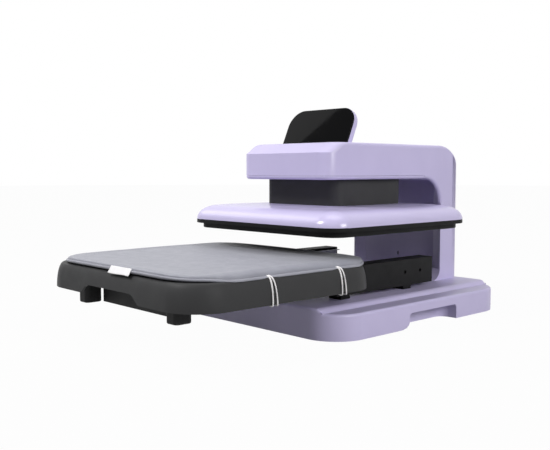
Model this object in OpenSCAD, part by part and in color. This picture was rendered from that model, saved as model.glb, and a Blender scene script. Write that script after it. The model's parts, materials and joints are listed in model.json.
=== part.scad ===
// Flat craft heat press: a motor lowers a heated plate onto a padded mat in a pull-out drawer.
// Sizes are in millimetres. X runs across, Y from the front to the back, Z up.
// Modules draw at the machine's own place: the middle of the heat plate is at X = Y = 0 and the
// lower rim of the base is at Z = 0. machine() then moves every piece, so that the origin lies on
// the table, in the middle of the footprint of the press with its drawer pulled out.

/* [Base] */
// Width of the base
base_w = 450; // [430:1:500]
// From the middle of the heat plate to the front of the base
base_front = 221; // [205:1:240]
// Plan radius of the base's corners
base_corner_r = 65; // [40:1:70]
// Height of the base at its sides
base_side_h = 46; // [42:1:56]
// Radius of the base's upper side edge
base_edge_r = 6; // [4:0.5:10]
// Rise of the plateau above the side borders
plateau_rise = 8; // [4:0.5:12]
// Width of the border between the base's side and the plateau
plateau_border = 45; // [36:1:60]
// Run of the slope between plateau and side border
plateau_run = 8; // [4:0.5:14]
// Wall of the base shell
base_wall = 3; // [2:0.5:4]
// Length of a hand-hold in the side of the base
handhold_l = 146; // [110:1:170]
// From the middle of the heat plate back to the middle of a hand-hold
handhold_y = 48; // [20:1:70]
// Height of a hand-hold
handhold_h = 28; // [20:1:32]
// Depth of a hand-hold
handhold_d = 36; // [24:1:40]
// Inner corner radius of a hand-hold
handhold_r = 20; // [8:1:22]
// Thickness of the steel floor pan
pan_t = 2; // [1.5:0.5:3]
// Height of the floor pan above the base's rim
pan_lift = 1; // [0.5:0.5:2]
// Height of the rubber feet below the base's rim
foot_h = 3; // [2:0.5:8]
// Diameter of a rubber foot
foot_d = 26; // [18:1:34]

/* [Column and head] */
// From the shroud's side to the side of column and head
col_side = 19.5; // [18:0.5:30]
// From the middle of the heat plate to the front of the column
throat = 215; // [212:1:240]
// Depth of the column
col_d = 75; // [72:1:90]
// From the middle of the heat plate to the front of the head
head_front = 133; // [126:1:160]
// Room between the drive gears and the screen's bracket in the head
head_room = 6.7; // [2:0.1:12]
// Radius of the arch between column and head
arch_r = 52; // [36:1:58]
// Radius of the head's rear upper curve
back_r = 75; // [66:1:76]
// Plan radius of the head's corners
head_corner_r = 30; // [20:1:34]
// Run of the slope at the head's upper front
brow_run = 28; // [16:1:34]
// Drop of the slope at the head's upper front
brow_drop = 19.5; // [12:0.5:24]
// Wall of the column shell
shell_wall = 3; // [2.5:0.5:4]
// Depth of the recess in the column's front
recess_d = 10; // [6:1:12]
// Width of the flank beside the recess in the column's front
recess_side = 7.5; // [5.5:0.5:14]
// Run of the recess's sloped sides
recess_run = 18; // [14:1:30]
// Radius of the cove at the column's foot
cove_r = 24; // [16:1:25]
// Height of the band that the head's bottom cover shows
band_h = 7; // [6:0.5:9]
// From the column's side to the rear cover
rear_cover_side = 35.5; // [32:0.5:44]
// Height of the rear cover
rear_cover_h = 180; // [170:1:190]

/* [Heat plate] */
// Side of the square heat plate
plate_w = 380; // [360:1:384]
// Plan radius of the heat plate's corners
plate_corner_r = 34; // [15:1:40]
// Thickness of the heat plate
plate_t = 12; // [11:0.5:16]
// How far the heat plate stands below the rim
plate_proud = 10; // [6:0.5:10.5]
// Overhang of the rim past the heat plate, on each side
rim_over = 13; // [8:0.5:16]
// Height of the rim
rim_h = 7.5; // [6.5:0.5:10]
// Height of the domed cover above the rim
cover_h = 28; // [26:0.5:34]
// Width of the cover's curved edge
cover_curve = 45; // [30:1:46]
// Wall of the domed cover
cover_wall = 3; // [2:0.5:4]
// Clear height between mat and heat plate
press_gap = 34; // [28:0.5:42]
// Room left above the mat when the plate is down
press_margin = 1; // [0.5:0.5:3]

/* [Shroud and drive] */
// Width of the shroud
shroud_w = 200; // [180:1:220]
// Depth of the shroud
shroud_l = 200; // [196:1:206]
// From the middle of the heat plate back to the middle of the shroud
shroud_y = 14; // [8:1:18]
// Plan radius of the shroud's corners
shroud_corner_r = 25; // [12:1:30]
// Height of the shroud between cover and head
shroud_show = 52; // [46:1:60]
// Wall of the shroud
shroud_wall = 3; // [2:0.5:4]
// Lead of the screw
screw_lead = 12; // [8:1:16]
// Radius of the lead screw
screw_r = 6; // [5:0.5:7]
// Radius of a guide rod
rod_r = 6; // [5:0.5:7]
// Tooth module of the drive gears
gear_module = 1.5; // [1.4:0.05:1.55]
// Width of the drive gears
gear_face = 8; // [6:0.5:10]
// Teeth of the gear on the screw
screw_teeth = 48; // [44:1:50]
// Teeth of the motor's pinion
pinion_teeth = 16; // [14:1:18]
// Radius of the gear motor
motor_r = 22; // [18:1:23]
// Length of the gear motor
motor_l = 72; // [50:1:80]

/* [Drawer] */
// Width of the drawer's tray
tray_w = 440; // [420:1:446]
// Length of the drawer's tray
tray_l = 412; // [404:1:420]
// Height of the tray
tray_h = 42; // [38:1:48]
// Plan radius of the tray's corners
tray_corner_r = 66; // [30:1:70]
// How far the tray's sides lean in from bottom to deck
tray_lean = 12; // [8:1:16]
// Wall of the tray
tray_wall = 4; // [3:0.5:5]
// Thickness of the tray's deck
deck_t = 3; // [2:0.5:4]
// Thickness of the steel plate under the deck
tray_plate_t = 4; // [3:0.5:5]
// Drawer travel
drawer_travel = 306; // [270:1:306]
// Gap between the closed drawer and the column
tray_gap = 7; // [4:0.5:12]
// Width of the pull notch at the tray's front edge
notch_w = 172; // [120:1:190]
// Height of the pull notch
notch_h = 15; // [10:1:18]
// Room for fingers between the tray's front and its cross wall
pull_room = 60; // [46:1:62]
// Width of a tray foot
tray_foot_w = 29; // [20:1:34]
// Length of a tray foot
tray_foot_l = 32; // [24:1:36]
// Gap between the two tray feet
tray_foot_gap = 234; // [200:1:250]
// Height of the tray feet above the plateau
tray_foot_clear = 2.7; // [1.5:0.1:5]
// From the tray's side to the mat's side
mat_side = 13; // [12:0.5:20]
// Length of the mat
mat_l = 397; // [386:1:400]
// Thickness of the mat
mat_t = 12; // [8:0.5:14]
// Plan radius of the mat's corners
mat_corner_r = 78; // [20:1:84]
// Diameter of the elastic in the mat's loops
elastic_d = 2.6; // [2:0.1:3]
// Distance from the tray's front to the front loops
loop_front = 156; // [130:1:190]
// Distance between the front and the rear loops
loop_step = 155; // [130:1:170]
// Width of the tag on the mat
tag_w = 60; // [30:1:80]
// How far the tag hangs out past the mat
tag_hang = 9; // [7:0.5:12]

/* [Drawer slides] */
// Length of a rail box
rail_l = 284; // [276:1:296]
// From the middle of the heat plate to the front of the rail boxes
rail_front = 135; // [130:1:140]
// Clear width between the rail boxes
rail_gap = 226; // [210:1:232]
// Width of a rail box
rail_w = 34; // [28:1:38]
// Height of a rail box
rail_h = 51; // [48:1:56]
// Sheet thickness of a rail box
rail_wall = 2; // [1.5:0.5:2.5]
// Height of the spacers under the rail boxes
spacer_h = 7; // [4:0.5:10]
// Clear height between rail boxes and the tray's plate
rail_clear = 5.5; // [3:0.5:8]
// Running gap between slide members
slide_play = 0.5; // [0.3:0.1:0.8]
// Sheet thickness of a slide member
slide_t = 1.5; // [1.2:0.1:1.8]

/* [Touch screen] */
// Width of the touch screen
screen_w = 178; // [150:1:190]
// Height of the touch screen's top above the head
screen_rise = 70; // [60:1:80]
// Angle that the touch screen leans back
screen_lean = 24; // [15:1:30]
// Thickness of the touch screen
screen_t = 15; // [13:0.5:20]
// Radius of the touch screen's upper corners
screen_corner_r = 36; // [12:1:40]
// From the middle of the heat plate forward to the screen's foot
screen_front = 46; // [40:1:52]
// Thickness of the screen's glass
glass_t = 2; // [1.5:0.5:3]

/* [Clearances] */
// Clearance between fixed pieces that sit in each other
fit = 0.3; // [0.2:0.05:0.5]
// Clearance around the moving shroud
shroud_clear = 1; // [0.5:0.1:2]
// Radial clearance of a running shaft
run_clear = 0.06; // [0.03:0.01:0.1]

/* [Hidden] */
$fn = 64;

lilac = "#C3BADF";
graphite = "#454546";
black = "#1C1C1E";
steel = "#9A9CA0";
mat_grey = "#A9ACB8";

// Heights
plateau_top = base_side_h + plateau_rise;
pan_top = pan_lift + pan_t;
rail_bottom = plateau_top + spacer_h;
rail_top = rail_bottom + rail_h;
tray_plate_z = rail_top + rail_clear;
deck_z = tray_plate_z + tray_plate_t;
deck_top = deck_z + deck_t;
skirt_z = deck_top - tray_h;
mat_top = deck_top + mat_t;
plate_z = mat_top + press_gap;
plate_top = plate_z + plate_t;
rim_z = plate_z + plate_proud;
rim_top = rim_z + rim_h;
cover_top = rim_top + cover_h;
head_bottom = cover_top + shroud_show;
press_stroke = press_gap - press_margin;
shroud_hold = 6;
shroud_top = head_bottom + press_stroke + shroud_hold;
top_plate_t = 6;
top_plate_room = 2;
top_plate_z = shroud_top + top_plate_room;
bearing_flange = 1;
gear_z = top_plate_z + top_plate_t + bearing_flange + fit;
strap_t = 3;
ceiling_z = gear_z + gear_face + head_room + strap_t;
head_top = ceiling_z + shell_wall;
head_h = head_top - head_bottom;

// Places along Y
col_back = throat + col_d;
base_back = col_back;
tray_back = throat - tray_gap - drawer_travel;
tray_front = tray_back - tray_l;
rail_back = rail_l - rail_front;
mat_inset = 8;
mat_front = tray_front + mat_inset;
mat_back = mat_front + mat_l;
machine_y = -(min(tray_front, mat_front - tag_hang) + col_back) / 2;

// Base
plateau_w = base_w - 2 * plateau_border;
pan_screw_x = base_w / 2 - (plateau_border - plateau_run + base_wall) / 2;
pan_screw_end = 75;
pan_screw_l = 12;
foot_side = 45;
foot_end = 50;

// Column shell
col_w = shroud_w + 2 * col_side;
recess_w = col_w - 2 * recess_side;
panel_w = recess_w - 2 * recess_run;
rear_cover_w = col_w - 2 * rear_cover_side;
panel_y = throat + recess_d;
recess_z = plateau_top + cove_r;
recess_top = head_bottom - shell_wall;
panel_rim = 2;
panel_z = recess_z + panel_rim;
panel_h = recess_top - panel_rim - panel_z;
arch_room = 6;
cover_end = throat - arch_r - arch_room;
rear_wall_y = col_back - shell_wall;
rear_cover_t = 1.5;
rear_cover_lift = 16;
rear_cover_z = plateau_top + rear_cover_lift;
rear_flange_t = 1.5;
ledge = 8;
ledge_t = 3;

// Steel frame inside base, column and head
frame_t = 4;
frame_gap = 5;
frame_x = shroud_w / 2 + frame_gap;
frame_out = frame_x + frame_t;
corner_in = frame_out - (col_w / 2 - head_corner_r);
corner_room = sqrt(pow(head_corner_r - shell_wall, 2) - pow(max(corner_in, 0), 2));
frame_room = 1.5;
frame_rear = min(rear_wall_y - ledge_t, col_back - head_corner_r + corner_room)
    - frame_room;
sensor_room = 12;
frame_col_y = panel_y + shell_wall + sensor_room;
frame_inset = 31;
frame_front = base_front - frame_inset;
frame_arm_z = head_bottom + band_h + frame_room;
frame_arm_front = 62;

// Heat plate stack
heater_r = 3.5;
heater_seat = 0.1;
heater_z = plate_top + heater_seat + heater_r;
heater_pitch = 50;
heater_margin = 80;
heater_leg = plate_w / 2 - heater_margin;
pad_z = heater_z + heater_r + fit;
pad_t = 8;
pad_inset = 12;
pressure_z = pad_z + pad_t;
pressure_t = 4;
pressure_inset = 20;
pressure_top = pressure_z + pressure_t;
stack_corner_r = 26;
cutout_r = 8;
rim_w = plate_w + 2 * rim_over;
rim_corner_r = plate_corner_r + rim_over;

// Drive, on the middle line of the shroud
pitch_screw = gear_module * screw_teeth / 2;
pitch_pinion = gear_module * pinion_teeth / 2;
motor_y = shroud_y + pitch_screw + pitch_pinion;
motor_room = 18;
top_plate_end = 12;
top_plate_front = shroud_y - shroud_l / 2 + top_plate_end;
top_plate_back = motor_y + motor_r + motor_room;
rod_side = 25;
rod_x = shroud_w / 2 - rod_side;
rod_end = 40;
rod_y = shroud_l / 2 - rod_end;
post_x = 45;
post_end = 28;
post_y = shroud_l / 2 - post_end;
post_r = 8;
stud_r = 5;
carrier_t = 6;
carrier_drop = 42;
carrier_z = top_plate_z - carrier_drop;
carrier_top = carrier_z + carrier_t;
rod_over = 4;
rod_z = carrier_z - press_stroke - rod_over;
screw_over = 12;
screw_z = carrier_z - press_stroke - screw_over;
motor_z = top_plate_z - motor_l;
gearbox_h = 24;
motor_step = 2;
motor_boss_r = 8;
pinion_shaft_r = 3;
pinion_shaft_in = 12;
nut_r = 12.5;
nut_tail = 14;
nut_flange_r = 19;
nut_flange_t = 4;
bush_r = 9;
bush_tail = 12;
bush_flange_r = 13;
bush_flange_t = 3;
collar_r = 9;
collar_h = 4;
bearing_r = 14;
bearing_lip = 3;

// Drawer slides: outer, middle and inner member, nested towards the middle of the machine
rail_x = rail_gap / 2;
slide_inset = 4.5;
slide_h = rail_h - 2 * slide_inset;
slide_z = rail_bottom + slide_inset;
slide_depth = 13;
bracket_x = rail_x - slide_depth;
bracket_t = 4;
bracket_flange = 26;
member_end = 4;
slide_l = rail_l - 2 * member_end;
slide_y = member_end - rail_front;
rail_screw_end = 40;
rail_screw_step = 48;
rail_screw_y = [for (k = [1, 0]) rail_back - rail_screw_end - k * rail_screw_step];
rail_screw_h = 26.5;
rail_screw_z = rail_bottom + rail_screw_h;
access_r = 3.4;
spacer_front = 23;
spacer_end = 81;
spacer_y = [spacer_front - rail_front, rail_back - spacer_end];
spacer_l = 24;
spacer_inset = 4;

// Drawer tray
cross_wall_y = tray_front + pull_room;
cross_wall_t = 3;
cross_wall_w = tray_foot_gap - 2;
cross_wall_z = plateau_top + tray_foot_clear + fit;
opening_room = 16;
tray_opening = rail_gap + 2 * (rail_w + opening_room);
tray_plate_room = 3;
tray_foot_r = 8;
mat_w = tray_w - 2 * mat_side;
mat_seat = 0.2;
mat_pull = 2;
mat_pull_w = 14;
loop_clear = 0.5;

// Screws with round heads
m3_r = 1.5;
m3_head_r = 3;
m3_hole_r = m3_r + 0.6;
boss_r = 6;

// Moves a piece from the machine's own place to the origin on the table
module machine() {
    translate([0, machine_y, foot_h]) children();
}

// Draws the child and its mirror image across the middle
module pair() {
    for (m = [0, 1]) mirror([m, 0, 0]) children();
}

// Draws the child on the right for 1 and on the left for -1
module on_side(side) {
    if (side > 0) children();
    else mirror([1, 0, 0]) children();
}

// Rounded rectangle from y0 to y1, centred across
module plan(w, y0, y1, r) {
    translate([-w / 2 + r, y0]) square([w - 2 * r, y1 - y0]);
    translate([-w / 2, y0 + r]) square([w, y1 - y0 - 2 * r]);
    for (x = [-1, 1], y = [y0 + r, y1 - r]) translate([x * (w / 2 - r), y]) circle(r);
}

// Upright plate with a rounded rectangular outline
module slab(w, y0, y1, r, z, h) {
    translate([0, 0, z]) linear_extrude(h) plan(w, y0, y1, r);
}

// Rounded rectangular body whose edge has the section that the child draws, from x = 0 at the
// middle of the corner's arc to x = r at the outermost line, between the heights z and z + h
module moulded(w, y0, y1, r, z, h) {
    for (x = [-1, 1], y = [y0 + r, y1 - r])
        translate([x * (w / 2 - r), y, 0]) rotate_extrude() children();
    pair() translate([w / 2 - r, y1 - r, 0]) rotate([90, 0, 0])
        linear_extrude(y1 - y0 - 2 * r) children();
    translate([-w / 2 + r, y1 - r, 0]) rotate([90, 0, 90]) linear_extrude(w - 2 * r) children();
    translate([0, y0 + r, 0]) mirror([0, 1, 0]) translate([-w / 2 + r, 0, 0])
        rotate([90, 0, 90]) linear_extrude(w - 2 * r) children();
    translate([-w / 2 + r, y0 + r, z]) cube([w - 2 * r, y1 - y0 - 2 * r, h]);
}

// Extrudes a side view, drawn as Y and Z, across the machine
module across(w) {
    translate([-w / 2, 0, 0]) rotate([90, 0, 90]) linear_extrude(w) children();
}

// Extrudes a front view, drawn as X and Z, from y0 to y1
module along(y0, y1) {
    translate([0, y1, 0]) rotate([90, 0, 0]) linear_extrude(y1 - y0) children();
}

// Screw along +Z: its head lies below z = 0, its shank above
module screw(length) {
    translate([0, 0, -1.5]) cylinder(h = 1.5, r = m3_head_r);
    cylinder(h = length, r = m3_r);
}

// Square section of a base edge with a rounded upper corner
module base_edge(inset, z) {
    r = base_corner_r - inset;
    e = max(base_edge_r - inset, 1);
    h = base_side_h - inset;
    translate([0, z]) square([r, h - e - z]);
    translate([0, z]) square([r - e, h - z]);
    translate([r - e, h - e]) circle(e);
}

// Outer form of the base for inset 0, and the room inside it for inset = wall
module base_form(inset, z) {
    w = base_w - 2 * inset;
    y0 = inset - base_front;
    y1 = base_back - inset;
    r = base_corner_r - inset;
    half = plateau_w / 2 - inset;
    shoulder = base_side_h - inset;
    low = shoulder - base_edge_r - 1;
    moulded(w, y0, y1, r, z, base_side_h - inset - z) base_edge(inset, z);
    intersection() {
        slab(w, y0, y1, r, z, plateau_top - inset - z);
        along(y0 - 1, y1 + 1) polygon([[-half - plateau_run, low], [-half - plateau_run, shoulder],
            [-half, plateau_top - inset], [half, plateau_top - inset],
            [half + plateau_run, shoulder], [half + plateau_run, low]]);
    }
}

// Room for a hand under the right side of the base
module handhold(grow, z, h) {
    y0 = handhold_y - handhold_l / 2 - grow;
    translate([base_w / 2, 0, 0])
        slab(2 * (handhold_d + grow), y0, y0 + handhold_l + 2 * grow, handhold_r + grow, z, h);
}

// Places of the screws that hold the floor pan
module pan_screw_places() {
    for (x = [-1, 1], y = [pan_screw_end - base_front, base_back - pan_screw_end])
        translate([x * pan_screw_x, y, 0]) children();
}

module base_shell() {
    color(lilac) machine() difference() {
        union() {
            difference() {
                base_form(0, 0);
                base_form(base_wall, -1);
            }
            intersection() {
                base_form(0, 0);
                pair() handhold(base_wall, 0, handhold_h + base_wall);
            }
            pan_screw_places() translate([0, 0, pan_top])
                cylinder(h = base_side_h - base_wall + 1 - pan_top, r = boss_r);
        }
        pair() handhold(0, -1, handhold_h + 1);
        translate([-frame_out - frame_room, frame_col_y - frame_room, pan_top])
            cube([2 * (frame_out + frame_room), frame_rear + 2 * frame_room - frame_col_y, plateau_top]);
        pan_screw_places() translate([0, 0, pan_top - 1])
            cylinder(h = pan_screw_l + 2, r = m3_r + run_clear);
    }
}

module base_pan() {
    inset = base_wall + fit;
    color(steel) machine() difference() {
        slab(base_w - 2 * inset, inset - base_front, base_back - inset, base_corner_r - inset,
            pan_lift, pan_t);
        pair() handhold(inset, 0, pan_top + 1);
        pan_screw_places() cylinder(h = pan_top + 1, r = m3_hole_r);
    }
}

module rubber_feet() {
    color(black) machine()
        for (x = [-1, 1], y = [foot_end - base_front, base_back - foot_end])
            translate([x * (base_w / 2 - foot_side), y, -foot_h])
                cylinder(h = foot_h + pan_lift, r = foot_d / 2);
}

module pan_screws() {
    color(steel) machine() pan_screw_places() translate([0, 0, pan_lift]) screw(pan_screw_l);
}

// Side view of the column and the head for inset 0, and of the room inside for inset = wall
module column_view(inset) {
    arch_y = throat - arch_r;
    arch_z = head_bottom - arch_r;
    top = head_top - inset;
    foot = inset > 0 ? plateau_top - 1 : plateau_top;
    difference() {
        union() {
            translate([inset - head_front, head_bottom + inset])
                square([head_front + col_back - 2 * inset, head_h - 2 * inset]);
            translate([throat + inset, foot])
                square([col_d - 2 * inset, head_bottom + head_h / 2 - foot]);
            difference() {
                translate([arch_y, arch_z]) square(arch_r + 1.5 * inset + 0.5);
                translate([arch_y, arch_z]) circle(arch_r + inset);
            }
            if (inset == 0) difference() {
                translate([throat - cove_r, plateau_top]) square([cove_r + 1, cove_r]);
                translate([throat - cove_r, plateau_top + cove_r]) circle(cove_r);
            }
        }
        translate([col_back - back_r, head_top - back_r]) difference() {
            square(back_r + 1);
            circle(back_r - inset);
        }
        polygon([[inset - head_front, top - brow_drop], [inset - head_front + brow_run, top],
            [inset - head_front + brow_run, top + 1], [inset - head_front - 1, top + 1],
            [inset - head_front - 1, top - brow_drop]]);
    }
}

// Outer form of the column and the head, or the room inside
module column_form(inset) {
    intersection() {
        across(col_w - 2 * inset) column_view(inset);
        slab(col_w - 2 * inset, inset - head_front, col_back - inset, head_corner_r - inset,
            plateau_top - 2, head_top + 4 - plateau_top);
    }
}

// Tilts a child that is drawn upright: X across, Y up along the screen, Z out of its face
module screen_place() {
    translate([0, -screen_front, head_top]) rotate([90 - screen_lean, 0, 0]) children();
}

// Outline of the screen with round upper corners, reaching below the head's top
module screen_outline(inset) {
    w = screen_w - 2 * inset;
    h = screen_rise / cos(screen_lean) - inset;
    r = screen_corner_r - inset;
    translate([-w / 2, -screen_t]) square([w, h - r + screen_t]);
    translate([r - w / 2, -screen_t]) square([w - 2 * r, h + screen_t]);
    for (x = [-1, 1]) translate([x * (w / 2 - r), h - r]) circle(r);
}

// Layer of the screen between two depths behind its face
module screen_layer(inset, near, far) {
    screen_place() translate([0, 0, -far]) linear_extrude(far - near) screen_outline(inset);
}

// Everything above a height
module above(z) {
    translate([-base_w, -base_w, z]) cube([2 * base_w, 2 * base_w, base_w]);
}

bracket_w = 50;
tongue_t = 2;
tongue_back = screen_t - 5;

// Tongue of the screen's bracket, grown for its slot
module screen_tongue(grow) {
    reach = screen_rise / 2;
    screen_place() translate([-bracket_w / 2 - grow, -4, -tongue_back - tongue_t - grow])
        cube([bracket_w + 2 * grow, reach + 4 + grow, tongue_t + 2 * grow]);
}

// Places of the rear cover's screws
module rear_screw_places() {
    for (x = [-1, 1], z = [ledge / 2, rear_cover_h - ledge / 2])
        translate([x * (rear_cover_w - ledge) / 2, rear_wall_y + rear_cover_t, rear_cover_z + z])
            rotate([90, 0, 0]) children();
}

module rear_ledge() {
    translate([-rear_cover_w / 2 - ledge, rear_wall_y - ledge_t, rear_cover_z - ledge]) difference() {
        cube([rear_cover_w + 2 * ledge, ledge_t, rear_cover_h + 2 * ledge]);
        translate([2 * ledge, -1, 2 * ledge])
            cube([rear_cover_w - 2 * ledge, ledge_t + 2, rear_cover_h - 2 * ledge]);
    }
}

module column_shell() {
    color(lilac) machine() difference() {
        union() {
            difference() {
                column_form(0);
                column_form(shell_wall);
            }
            intersection() {
                column_form(0);
                translate([-col_w, throat - arch_r, plateau_top])
                    cube([2 * col_w, arch_r + recess_d + shell_wall, head_bottom - plateau_top]);
            }
            rear_ledge();
        }
        translate([-col_w, -head_front - 1, head_bottom - 1])
            cube([2 * col_w, head_front + 1 + cover_end + fit, band_h + 1 + fit]);
        translate([0, 0, recess_z]) linear_extrude(recess_top - recess_z)
            polygon([[-recess_w / 2, 0], [recess_w / 2, 0], [recess_w / 2, throat],
                [panel_w / 2, panel_y], [-panel_w / 2, panel_y], [-recess_w / 2, throat]]);
        translate([-panel_w / 2 - fit, panel_y - 1, panel_z - fit])
            cube([panel_w + 2 * fit, shell_wall + 2, panel_h + 2 * fit]);
        translate([-rear_cover_w / 2 - fit, rear_wall_y, rear_cover_z - fit])
            cube([rear_cover_w + 2 * fit, shell_wall + 1, rear_cover_h + 2 * fit]);
        rear_screw_places() cylinder(h = 10, r = m3_r + run_clear);
        screen_tongue(fit);
    }
}

inlet_x = -45;
inlet_lift = 41;
inlet_z = plateau_top + inlet_lift;
inlet_w = 27;
inlet_h = 20;
inlet_depth = 26;
switch_x = 45;
switch_w = 22;
switch_h = 28;
rocker_r = 11;
rocker_w = 18;
rocker_tilt = 12;
rocker_y = col_back - rocker_r;
vent_l = 56;
vent_h = 3;
vent_gap = 6;
vent_pitch = 8;
vent_lift = 50;

module rear_cover() {
    color(lilac) machine() difference() {
        translate([-rear_cover_w / 2, rear_wall_y, rear_cover_z])
            cube([rear_cover_w, rear_cover_t, rear_cover_h]);
        translate([inlet_x - inlet_w / 2 - fit, rear_wall_y - 1, inlet_z - inlet_h / 2 - fit])
            cube([inlet_w + 2 * fit, rear_cover_t + 2, inlet_h + 2 * fit]);
        translate([switch_x - switch_w / 2 - fit, rear_wall_y - 1, inlet_z - switch_h / 2 - fit])
            cube([switch_w + 2 * fit, rear_cover_t + 2, switch_h + 2 * fit]);
        for (x = [-vent_l - vent_gap, vent_gap], k = [0:5])
            translate([x, rear_wall_y - 1, inlet_z + vent_lift + vent_pitch * k])
                cube([vent_l, rear_cover_t + 2, vent_h]);
        rear_screw_places() translate([0, 0, -3]) cylinder(h = 10, r = m3_hole_r);
    }
}

module rear_cover_screws() {
    color(steel) machine() rear_screw_places() screw(6);
}

sensor_lift = 24;
sensor_z = recess_z + sensor_lift;
sensor_w = 24;
sensor_d = 8;

module column_front_panel() {
    hole_w = 4;
    hole_h = 9;
    color(lilac) machine() difference() {
        translate([-panel_w / 2, panel_y, panel_z]) cube([panel_w, shell_wall, panel_h]);
        along(panel_y - 1, panel_y + shell_wall + 1) translate([0, sensor_z]) {
            translate([-hole_w / 2, (hole_w - hole_h) / 2]) square([hole_w, hole_h - hole_w]);
            for (s = [-1, 1]) translate([0, s * (hole_h - hole_w) / 2]) circle(hole_w / 2);
        }
    }
}

// Shroud's plan, grown on all sides
module shroud_slab(grow, z, h) {
    y0 = shroud_y - shroud_l / 2;
    slab(shroud_w + 2 * grow, y0 - grow, y0 + shroud_l + grow, shroud_corner_r + grow, z, h);
}

module head_bottom_cover() {
    chamfer = 4;
    color(lilac) machine() difference() {
        intersection() {
            across(col_w) polygon([[-head_front, head_bottom + band_h], [-head_front, head_bottom + chamfer],
                [chamfer - head_front, head_bottom], [cover_end, head_bottom],
                [cover_end, head_bottom + band_h]]);
            slab(col_w, -head_front, col_back, head_corner_r, head_bottom - 1, band_h + 2);
        }
        slab(col_w - 2 * shell_wall - 2, shell_wall + 1 - head_front, cover_end - shell_wall,
            head_corner_r - shell_wall, head_bottom + shell_wall, band_h);
        shroud_slab(shroud_clear, head_bottom - 1, band_h + 2);
    }
}

// One C-shaped side plate of the steel frame
module frame_plate(side) {
    cut = head_top - back_r + 6;
    top = top_plate_z;
    color(steel) machine() on_side(side) translate([frame_x, 0, 0]) rotate([90, 0, 90])
        linear_extrude(frame_t) polygon([[-frame_front, pan_top], [frame_rear, pan_top],
            [frame_rear, cut], [col_back - back_r + 40, top], [-frame_arm_front, top],
            [-frame_arm_front, frame_arm_z], [frame_col_y, frame_arm_z],
            [frame_col_y, plateau_top - base_wall], [-frame_front, plateau_top - base_wall]]);
}

module frame_plate_left() {
    frame_plate(-1);
}

module frame_plate_right() {
    frame_plate(1);
}

module frame_top_plate() {
    color(steel) machine() difference() {
        translate([-frame_out, top_plate_front, top_plate_z])
            cube([2 * frame_out, top_plate_back - top_plate_front, top_plate_t]);
        translate([0, shroud_y, top_plate_z - 1]) cylinder(h = top_plate_t + 2, r = bearing_r + run_clear);
        translate([0, motor_y, top_plate_z - 1]) cylinder(h = top_plate_t + 2, r = motor_boss_r);
    }
}

board_bar_w = 10;
board_step = 60;
board_room = 8;
board_y = [throat - board_room - board_step, throat - board_room];
board_bar_lift = 9;
board_bar_z = frame_arm_z + board_bar_lift;
board_bar_t = 4;
control_w = 120;
control_off = 8;
power_w = 100;
power_l = 66;
power_off = 20;
power_lift = 62;
tie_r = 8;
tie_lift = 20;
tie_drop = 30;
tie_inset = 50;

module frame_ties() {
    mid = (frame_col_y + frame_rear) / 2;
    color(steel) machine() {
        for (p = [[tie_inset - base_front, pan_top + tie_lift], [mid, pan_top + tie_lift],
                [mid, rear_cover_z + rear_cover_h - tie_drop]])
            translate([-frame_x, p[0], p[1]]) rotate([0, 90, 0]) cylinder(h = 2 * frame_x, r = tie_r);
        for (y = board_y)
            translate([-frame_x, y - board_bar_w / 2, board_bar_z])
                cube([2 * frame_x, board_bar_w, board_bar_t]);
    }
}

// Places of the guide rods
module rod_places() {
    for (x = [-1, 1], y = [-1, 1]) translate([x * rod_x, shroud_y + y * rod_y, 0]) children();
}

module guide_rods() {
    color("#C9CBD0") machine() rod_places() translate([0, 0, rod_z])
        cylinder(h = top_plate_z - rod_z, r = rod_r);
}

module screw_bearing() {
    color(steel) machine() translate([0, shroud_y, top_plate_z]) difference() {
        union() {
            cylinder(h = top_plate_t, r = bearing_r);
            translate([0, 0, top_plate_t]) cylinder(h = bearing_flange, r = bearing_r + bearing_lip);
        }
        translate([0, 0, -1]) cylinder(h = top_plate_t + bearing_flange + 2, r = screw_r + run_clear);
    }
}

module gear_motor() {
    color(black) machine() translate([0, motor_y, 0]) difference() {
        union() {
            translate([0, 0, motor_z]) cylinder(h = top_plate_z - motor_z, r = motor_r - motor_step);
            translate([0, 0, top_plate_z - gearbox_h]) cylinder(h = gearbox_h, r = motor_r);
        }
        translate([0, 0, top_plate_z - pinion_shaft_in - 1])
            cylinder(h = pinion_shaft_in + 2, r = pinion_shaft_r + run_clear);
    }
}

// Closed sheet-metal box beside the drawer slide, with access holes in its outer face
module rail_box(side) {
    color(black) machine() on_side(side) difference() {
        translate([rail_x, -rail_front, rail_bottom]) cube([rail_w, rail_l, rail_h]);
        translate([rail_x + rail_wall, rail_wall - rail_front, rail_bottom + rail_wall])
            cube([rail_w - 2 * rail_wall, rail_l - 2 * rail_wall, rail_h - 2 * rail_wall]);
        for (y = rail_screw_y) translate([rail_x - 1, y, rail_screw_z]) rotate([0, 90, 0]) {
            cylinder(h = rail_w / 2, r = m3_r + run_clear);
            translate([0, 0, rail_w / 2]) cylinder(h = rail_w, r = access_r);
        }
    }
}

module rail_box_left() {
    rail_box(-1);
}

module rail_box_right() {
    rail_box(1);
}

module rail_spacers() {
    color(black) machine() pair() for (y = spacer_y)
        translate([rail_x + spacer_inset, y - spacer_l / 2, plateau_top])
            cube([rail_w - spacer_inset, spacer_l, spacer_h]);
}

module rail_screws() {
    color(steel) machine() pair() for (y = rail_screw_y)
        translate([rail_x + rail_wall, y, rail_screw_z]) rotate([0, -90, 0])
            screw(rail_wall + slide_t);
}

// C-shaped slide member: its web lies at the outer side, its lips reach inwards
module slide_channel(x0, x1, z0, z1, y0) {
    translate([0, y0, 0]) difference() {
        translate([x0, 0, z0]) cube([x1 - x0, slide_l, z1 - z0]);
        translate([x0 - 1, -1, z0 + slide_t])
            cube([x1 - x0 - slide_t + 1, slide_l + 2, z1 - z0 - 2 * slide_t]);
    }
}

slide_step = slide_t + slide_play;

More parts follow.
